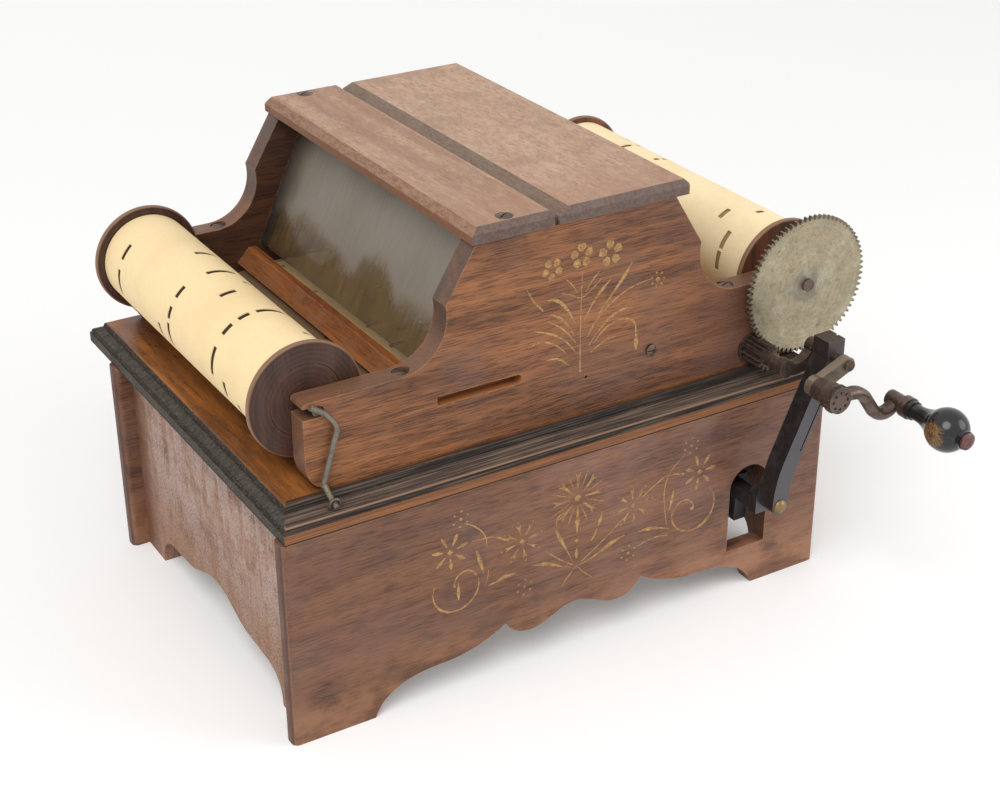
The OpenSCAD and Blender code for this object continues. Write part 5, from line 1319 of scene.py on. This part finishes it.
# The bellows cloth: where it starts from the hinge, how far out its folds reach full depth, the steps
# of its mesh, and the millimetres between two rows in its UV map
CLOTH_START = 8 * MM
FULL_FOLD_AT = 70 * MM
SIDE_STEPS = 14
FRONT_STEPS = 20
ROWS_PER_FOLD = 4
UV_ROW = 5.0


def wedge_path(near):
    """Steps along a wedge's left side, front and right side: the share across and the way from the hinge."""
    side = near - CLOTH_START
    path = [(0, CLOTH_START + side * step / SIDE_STEPS) for step in range(SIDE_STEPS)]
    path += [(step / FRONT_STEPS, near) for step in range(FRONT_STEPS)]
    path += [(1, near - side * step / SIDE_STEPS) for step in range(SIDE_STEPS + 1)]
    return path


def pleated_cloth(name, cloth_node, joint_name):
    """Cloth that runs round three sides of a wedge and folds in between its two boards."""
    bellows = bpy.context.scene.organette_bellows
    thickness = bellows.thickness
    hinge = hinge_of(joint_name)
    cloth_low, cloth_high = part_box(cloth_node)
    top_z = cloth_high.z
    reach = hinge.y - cloth_low.y
    drop = hinge.z - cloth_low.z
    opening = math.atan2(drop, reach)
    near = math.hypot(reach, drop) - thickness
    left = cloth_low.x + thickness
    right = cloth_high.x - thickness
    path = wedge_path(near)
    rows = ROWS_PER_FOLD * bellows.folds
    mesh = bmesh.new()
    sheet_uv = mesh.loops.layers.uv.new("Cut")
    grid = []
    for row in range(rows + 1):
        part = row / rows
        turned_in = bellows.fold_depth * (0.5 - 0.5 * math.cos(FULL_TURN * part * bellows.folds))
        angle = opening * part
        line = []
        for across, distance in path:
            inset = turned_in * min(1.0, distance / FULL_FOLD_AT)
            x = left + inset + across * (right - left - 2 * inset)
            far = min(distance, near - inset)
            y = hinge.y - far * math.cos(angle)
            z = (1 - part) * top_z + part * hinge.z - far * math.sin(angle)
            line.append(mesh.verts.new((x, y, z)))
        grid.append(line)
    walked = [0.0]
    for a, b in zip(grid[0], grid[0][1:]):
        walked.append(walked[-1] + (a.co - b.co).length)
    for row in range(rows):
        for step in range(len(path) - 1):
            corners = [(row, step), (row, step + 1), (row + 1, step + 1), (row + 1, step)]
            face = mesh.faces.new([grid[r][s] for r, s in corners])
            for loop, (r, s) in zip(face.loops, corners):
                loop[sheet_uv].uv = (walked[s] / MM, r * UV_ROW)
    bmesh.ops.recalc_face_normals(mesh, faces=mesh.faces)
    area = sum(face.calc_area() for face in mesh.faces)
    cloth = placed_mesh(name, mesh)
    apply_modifier(cloth, "SOLIDIFY", thickness=thickness, offset=0.0)
    smooth(cloth, 50)
    dress(bpy.data.materials["Bellows cloth"], name)
    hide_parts(cloth_node)
    return cloth, Vector((0, cloth_low.y, top_z)), Vector((0, cloth_low.y, cloth_low.z))


class ORGANETTE_OT_bellows(bpy.types.Operator):
    """Fold the cloth of the feeder and of the reservoir"""

    bl_idname = "organette.bellows"
    bl_label = "Bellows cloth"

    def execute(self, context):
        for side in ("feeder", "reservoir"):
            cloth, start, end = pleated_cloth(
                side + "_bellows", side + "_cloth", side + "_swing"
            )
            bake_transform(cloth)
        return {"FINISHED"}


def leather_strip(name, low, high, thickness):
    """A soft sheet in the box from low to high: it lies along the box's two longer sides."""
    size = high - low
    thin = min(range(3), key=lambda axis: size[axis])
    wide = [axis for axis in range(3) if axis != thin]
    deselect()
    bpy.ops.mesh.primitive_grid_add(x_subdivisions=24, y_subdivisions=10, size=1.0)
    strip = latest(name)
    middle = (low + high) / 2
    for vertex in strip.data.vertices:
        spot = middle.copy()
        spot[wide[0]] += vertex.co.x * size[wide[0]]
        spot[wide[1]] += vertex.co.y * size[wide[1]]
        vertex.co = spot
    settle(strip)
    apply_modifier(strip, "SOLIDIFY", thickness=thickness, offset=0.0)
    smooth(strip, 40)
    dress(bpy.data.materials["Leather"], name)
    return strip


class ORGANETTE_OT_leatherwork(bpy.types.Operator):
    """Lay the leather hinges and the valve flaps"""

    bl_idname = "organette.leatherwork"
    bl_label = "Leather hinges and flaps"

    def execute(self, context):
        hinge_thickness = context.scene.organette_bellows.leather_thickness
        flap_thickness = 0.9 * hinge_thickness
        for node, name, thickness in (
            ("feeder_hinge", "feeder_back_strip", hinge_thickness),
            ("reservoir_hinge", "reservoir_back_strip", hinge_thickness),
            ("outlet_flap", "outlet_valve", flap_thickness),
        ):
            low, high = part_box(node)
            strip = leather_strip(name, low, high, thickness)
            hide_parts(node)
            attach(strip, "root")
        self.inlet_valve()
        self.roof_hinge(0.6 * hinge_thickness)
        return {"FINISHED"}

    def inlet_valve(self):
        """The flap lies on the tilted feeder board, so it starts as a copy of its solid."""
        flap = copy_of("inlet_flap", "inlet_valve")
        bpy.ops.object.mode_set(mode="EDIT")
        bpy.ops.mesh.select_all(action="SELECT")
        bpy.ops.mesh.tris_convert_to_quads()
        bpy.ops.mesh.subdivide(number_cuts=6)
        bpy.ops.object.mode_set(mode="OBJECT")
        apply_modifier(flap, "BEVEL", width=0.3 * MM, segments=2, limit_method="ANGLE")
        smooth(flap, 40)
        dress(bpy.data.materials["Leather"], flap.name)
        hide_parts("inlet_flap")
        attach(flap, "feeder")

    def roof_hinge(self, thickness):
        """Leather folded into the groove between the roof board and the lid."""
        low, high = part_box("hinge_leather")
        half = thickness / 2
        section = [
            (low.x + half, high.z - half),
            (low.x + half, low.z + 3 * half),
            (low.x + 3 * half, low.z + half),
            (high.x - 3 * half, low.z + half),
            (high.x - half, low.z + 3 * half),
            (high.x - half, high.z - half),
        ]
        strip_length = high.y - low.y
        steps = 60
        mesh = bmesh.new()
        lines = []
        for step in range(steps + 1):
            y = low.y + strip_length * step / steps
            lines.append([mesh.verts.new((x, y, z)) for x, z in section])
        for a, b in zip(lines, lines[1:]):
            for i in range(len(section) - 1):
                mesh.faces.new((a[i], a[i + 1], b[i + 1], b[i]))
        bmesh.ops.recalc_face_normals(mesh, faces=mesh.faces)
        strip = placed_mesh("roof_hinge", mesh)
        apply_modifier(strip, "SOLIDIFY", thickness=thickness, offset=0.0)
        smooth(strip, 60)
        dress(bpy.data.materials["Leather"], "roof_hinge")
        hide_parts("hinge_leather")
        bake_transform(strip)


# Window and spring

class ORGANETTE_OT_window_film(bpy.types.Operator):
    """Lay the film of dust on the window glass"""

    bl_idname = "organette.window_film"
    bl_label = "Dust on the window"

    def execute(self, context):
        film = copy_of("window_glass", "window_film")
        bpy.ops.object.mode_set(mode="EDIT")
        mesh = bmesh.from_edit_mesh(film.data)
        for face in mesh.faces:
            face.select_set(face.normal.x > -0.5)
        bpy.ops.mesh.delete(type="FACE")
        bpy.ops.mesh.select_all(action="SELECT")
        bpy.ops.mesh.tris_convert_to_quads()
        bpy.ops.mesh.subdivide(number_cuts=12)
        bpy.ops.object.mode_set(mode="OBJECT")
        lift = film.data.polygons[0].normal * 0.08 * MM
        # The film ends just short of the cheeks, which hold the glass
        clearance = 0.3 * MM
        well_low, well_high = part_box("feed_rail")
        for vertex in film.data.vertices:
            vertex.co += lift
            vertex.co.y = min(max(vertex.co.y, well_low.y + clearance), well_high.y - clearance)
        apply_modifier(film, "SOLIDIFY", thickness=0.05 * MM, offset=-1.0)
        dress(bpy.data.materials["Window dust"], film.name)
        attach(film, "root")
        return {"FINISHED"}


class ORGANETTE_OT_leaf_spring(bpy.types.Operator):
    """Bend the leaf spring inside the reservoir"""

    bl_idname = "organette.leaf_spring"
    bl_label = "Leaf spring"

    def execute(self, context):
        low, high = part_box("reservoir_spring")
        room = 1.2 * MM
        top = high.z - room / 2
        foot = low.z + room / 2
        tip_y = low.y + 2 * MM
        turn = (top - foot) / 5
        bend_y = high.y - 3 * turn
        line = [(tip_y, top), (bend_y, top)]
        for angle in [math.pi * i / 8 for i in range(1, 8)]:
            line.append((bend_y + 3 * turn * math.sin(angle), top - turn + turn * math.cos(angle)))
        line += [(bend_y, top - 2 * turn), (tip_y, foot)]
        data = bpy.data.curves.new("reservoir_leaf", "CURVE")
        data.dimensions = "3D"
        data.extrude = (high.x - low.x) / 2
        spline = data.splines.new("POLY")
        spline.points.add(len(line) - 1)
        for point, (y, z) in zip(spline.points, line):
            point.co = ((low.x + high.x) / 2, y, z, 1.0)
        only(placed("reservoir_leaf", data))
        bpy.ops.object.convert(target="MESH")
        leaf = latest("reservoir_leaf")
        settle(leaf)
        apply_modifier(leaf, "SOLIDIFY", thickness=0.7 * room, offset=0.0)
        smooth(leaf, 40)
        dress(bpy.data.materials["Old iron"], leaf.name)
        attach(leaf, "root")
        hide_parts("reservoir_spring")
        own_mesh(leaf)
        return {"FINISHED"}


# Finishing the frame's own pieces

def finish_name(node):
    """A node's name as a finish is named."""
    return node.replace("_", " ").title()


class ORGANETTE_OT_woodwork(bpy.types.Operator):
    """Finish every wooden piece"""

    bl_idname = "organette.woodwork"
    bl_label = "Woodwork"

    def execute(self, context):
        woods = context.scene.organette_woods
        panel = wood("Panel", woods.panel_light, woods.panel_dark, ALONG_X, pores=0.85, retouch=panel_tones)
        dress(panel, "front_panel", "back_panel")
        end = wood(
            "End panel", woods.end_light, woods.end_dark, ALONG_Y,
            pores=0.5, roughness=0.55, retouch=end_tones,
        )
        dress(end, "left_panel", "right_panel")
        for node, retouch in (("front_cheek", cheek_tones), ("back_cheek", back_cheek_tones)):
            cheek = wood(
                finish_name(node), woods.cheek_light, woods.cheek_dark, ALONG_X,
                roughness=0.42, retouch=retouch,
            )
            dress(cheek, node)
        slope = wood("Slope board", woods.cheek_light, woods.cheek_dark, ALONG_Y, dust=0.4)
        dress(slope, "slope_board")
        for node, groove_side in (("roof_board", False), ("swell_lid", True)):
            board = wood(
                finish_name(node), woods.roof_light, woods.roof_dark, ALONG_Y,
                pores=0.35, roughness=0.62, edges=0.3, dust=0.25, retouch=roof_tones(groove_side),
            )
            dress(board, node)
        top = wood(
            "Top board", woods.field_light, woods.field_dark, ALONG_Y,
            pores=0.6, roughness=0.3, shine=0.38, edges=0.15, retouch=top_tones, dulled=top_dulled,
        )
        dress(top, "top_board")
        rail = wood(
            "Rail", woods.rail_light, woods.rail_dark, ALONG_Y,
            pores=0.7, roughness=0.5, shine=0.12, edges=1.0, retouch=rail_tones,
        )
        dress(rail, "feed_rail", "takeup_rail")
        for node, light in (("feed_spool", woods.spool_light), ("takeup_spool", woods.spool_red)):
            low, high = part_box(node)
            middle = (low + high) / 2
            turned = wood(
                finish_name(node), light, woods.spool_dark, ALONG_Z,
                pores=0.5, roughness=0.36, edges=0.25,
                retouch=spool_tones(middle.x, middle.z, (high.x - low.x) / 2),
            )
            dress(turned, node)
        pale = wood(
            "Inner wood", woods.pale_light, woods.pale_dark, ALONG_X,
            pores=0.4, roughness=0.65, edges=0.2, dust=0.5,
        )
        dress(pale, "corner_blocks", "reed_chest", "reed_pan", "tracker_board", "wind_board", "wind_trunk")
        dress(pale, "feeder_board", "reservoir_board")
        return {"FINISHED"}


class ORGANETTE_OT_metalwork(bpy.types.Operator):
    """Finish every metal piece, the knob and the glass"""

    bl_idname = "organette.metalwork"
    bl_label = "Metalwork, knob and glass"

    def execute(self, context):
        metals = context.scene.organette_metals
        iron = metal("Old iron", metals.iron, (0.062, 0.048, 0.044), rusted=0.5)
        dress(iron, "roof_screws", "cheek_screws", "chest_screws", "arm_screws")
        dress(iron, "feed_arbors", "takeup_arbors", "pinion", "shaft_collar", "crankshaft", "crank_bushing")
        dress(iron, "crank_arm", "knob_ferrule", "catch_staple")
        wire = metal("Catch wire", metals.wire, (0.115, 0.105, 0.078), rusted=0.08, metallic=0.6)
        dress(wire, "spool_catch")
        black = metal(
            "Black iron", metals.black, (0.05, 0.045, 0.043), rusted=0.12, metallic=0.6, retouch=rod_tones
        )
        dress(black, "connecting_rod", "bellows_arm")
        steel = metal("Worn steel", metals.steel, (0.24, 0.19, 0.14), rusted=0.4)
        dress(steel, "outer_web")
        nickel = metal(
            "Nickel", metals.nickel, (0.33, 0.30, 0.21), rusted=0.12, metallic=0.7, retouch=gear_stains
        )
        dress(nickel, "spool_gear")
        brass = metal("Old brass", metals.brass, (0.16, 0.10, 0.05), rusted=0.15)
        dress(brass, "gear_hub", "rod_pin", "reeds")
        cap = metal("Spindle cap", metals.cap, (0.08, 0.045, 0.045), rusted=0.2)
        dress(cap, "knob_spindle")
        dress(knob_finish(), "crank_knob")
        dress(glass_finish(), "window_glass")
        return {"FINISHED"}


class ORGANETTE_OT_soft_finishes(bpy.types.Operator):
    """Prepare the finishes of paper, cloth, leather, gilt and dust"""

    bl_idname = "organette.soft_finishes"
    bl_label = "Paper, cloth and paint finishes"

    def execute(self, context):
        paper = context.scene.organette_paper
        rail_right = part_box("feed_rail")[1].x
        paper_finish("Paper", paper.tone, paper.aged, browned=0.0)
        paper_finish("Aged paper", paper.tone, paper.aged, browned=0.75, shaded_before=rail_right)
        paper_finish("Shaded paper", paper.shade, paper.shade_aged, browned=0.3)
        # The take-up roll's paper is painted lighter for the light on it
        paper_finish("Painted lit paper", paper.bright, paper.aged, browned=0.0)
        # The take-up roll's wound paper is painted darker, as shade in its slots
        paper_finish("Painted take-up slot shade", paper.wound, paper.wound_aged, browned=0.2)
        cloth_finish()
        leather_finish()
        window_film_finish()
        gilt_finish()
        return {"FINISHED"}


# Stage

# Lamps: the place and the width of each, in metres
KEY_SPOT = (-1.1, -1.0, 1.9)
KEY_WIDTH = 1.6
FILL_SPOT = (1.6, -1.3, 1.0)
FILL_WIDTH = 1.4

# Camera: its place in metres and the way it looks
CAMERA_SPOT = (-0.4627, -0.7464, 0.5697)
CAMERA_AZIMUTH = math.radians(-31.067)
CAMERA_ELEVATION = math.radians(27.422)
CAMERA_ROLL = math.radians(-0.288)


class ORGANETTE_OT_stage(bpy.types.Operator):
    """Set the floor, the light and the camera"""

    bl_idname = "organette.stage"
    bl_label = "Floor, light and camera"

    def execute(self, context):
        stage = context.scene.organette_stage
        self.floor(stage)
        self.sky(stage)
        self.lamp("Key", KEY_SPOT, KEY_WIDTH, stage.key)
        self.lamp("Fill", FILL_SPOT, FILL_WIDTH, stage.fill)
        self.camera(context, stage)
        context.scene.view_settings.view_transform = "Standard"
        return {"FINISHED"}

    def seen_directly(self, tree):
        """1 for what the camera sees, also in gloss and through glass."""
        path = add(tree, "LightPath").outputs
        seen = reckon(tree, "MAXIMUM", path["Is Camera Ray"], path["Is Glossy Ray"])
        return reckon(tree, "MAXIMUM", seen, path["Is Transmission Ray"])

    def floor(self, stage):
        """A wide pale floor that glows a little for the camera, more so at the back."""
        deselect()
        bpy.ops.mesh.primitive_grid_add(x_subdivisions=4, y_subdivisions=4, size=16.0)
        floor = latest("floor")
        material, tree, shader = start_finish("Floor")
        place = place_in_mm(tree)
        cloud = noise(tree, place, 0.004, 3.0)
        tone = mixed(tree, between(tree, cloud, 0.3, 0.7, 0.0, 0.12), stage.floor, (0.85, 0.85, 0.86))
        glow = between(tree, split(tree, place)["Y"], 100.0, 1800.0, 0.14, 0.26)
        end_finish(tree, shader, tone, 0.75, cloud, 0.02 * MM)
        shader.inputs["Specular IOR Level"].default_value = 0.15
        put(tree, shader.inputs["Emission Color"], (1.0, 1.0, 1.0))
        put(tree, shader.inputs["Emission Strength"], multiply(tree, self.seen_directly(tree), glow))
        dress(material, "floor")

    def sky(self, stage):
        """Even light from all round, which the camera sees as white."""
        world = bpy.data.worlds.new("Studio")
        bpy.context.scene.world = world
        world.use_nodes = True
        tree = world.node_tree
        tree.nodes.clear()
        strength = between(tree, self.seen_directly(tree), 0.0, 1.0, stage.sky, 1.0)
        light = add(tree, "Background", {"Color": (1.0, 0.995, 0.985), "Strength": strength})
        output = tree.nodes.new("ShaderNodeOutputWorld")
        tree.links.new(light.outputs[0], output.inputs["Surface"])

    def lamp(self, name, spot, width, power):
        """A round soft lamp that points at the cabinet."""
        data = bpy.data.lights.new(name, "AREA")
        data.shape = "DISK"
        data.size = width
        data.energy = power
        lamp = placed(name, data)
        lamp.location = spot
        target = Vector((0, 0, 0.1))
        lamp.rotation_euler = (target - Vector(spot)).to_track_quat("-Z", "Y").to_euler()

    def camera(self, context, stage):
        """The camera, turned about its own axis by the roll."""
        data = bpy.data.cameras.new("Camera")
        data.lens = stage.lens
        data.sensor_width = 36.0
        data.sensor_fit = "HORIZONTAL"
        camera = placed("Camera", data)
        back = Vector((
            math.sin(CAMERA_AZIMUTH) * math.cos(CAMERA_ELEVATION),
            -math.cos(CAMERA_AZIMUTH) * math.cos(CAMERA_ELEVATION),
            math.sin(CAMERA_ELEVATION),
        ))
        right = Vector((math.cos(CAMERA_AZIMUTH), math.sin(CAMERA_AZIMUTH), 0.0))
        level = Matrix((right, back.cross(right), back)).transposed().to_4x4()
        roll = Matrix.Rotation(CAMERA_ROLL, 4, "Z")
        camera.matrix_world = Matrix.Translation(CAMERA_SPOT) @ level @ roll
        context.scene.camera = camera


# Panel

OPERATORS = (
    ORGANETTE_OT_stage,
    ORGANETTE_OT_soft_finishes,
    ORGANETTE_OT_woodwork,
    ORGANETTE_OT_metalwork,
    ORGANETTE_OT_paper_rolls,
    ORGANETTE_OT_paper_web,
    ORGANETTE_OT_panel_spray,
    ORGANETTE_OT_cheek_bouquet,
    ORGANETTE_OT_bellows,
    ORGANETTE_OT_leatherwork,
    ORGANETTE_OT_leaf_spring,
    ORGANETTE_OT_window_film,
)

SETTINGS = {
    "organette_woods": WoodSettings,
    "organette_metals": MetalSettings,
    "organette_paper": PaperSettings,
    "organette_gilt": GiltSettings,
    "organette_bellows": BellowsSettings,
    "organette_stage": StageSettings,
}


class ORGANETTE_PT_panel(bpy.types.Panel):
    """Buttons and settings in the sidebar"""

    bl_idname = "ORGANETTE_PT_panel"
    bl_label = "Roll organette"
    bl_space_type = "VIEW_3D"
    bl_region_type = "UI"
    bl_category = "Organette"

    def draw(self, context):
        for operator in OPERATORS:
            self.layout.operator(operator.bl_idname)
        for name, settings in SETTINGS.items():
            box = self.layout.box()
            for field in settings.__annotations__:
                box.prop(getattr(context.scene, name), field)


CLASSES = (*SETTINGS.values(), *OPERATORS, ORGANETTE_PT_panel)


def register():
    for item in CLASSES:
        bpy.utils.register_class(item)
    for name, settings in SETTINGS.items():
        setattr(bpy.types.Scene, name, bpy.props.PointerProperty(type=settings))


def unregister():
    for name in SETTINGS:
        delattr(bpy.types.Scene, name)
    for item in reversed(CLASSES):
        bpy.utils.unregister_class(item)


def main():
    """Make everything in order."""
    register()
    for operator in OPERATORS:
        step = operator.bl_idname.removeprefix("organette.")
        getattr(bpy.ops.organette, step)()


if __name__ == "__main__":
    main()
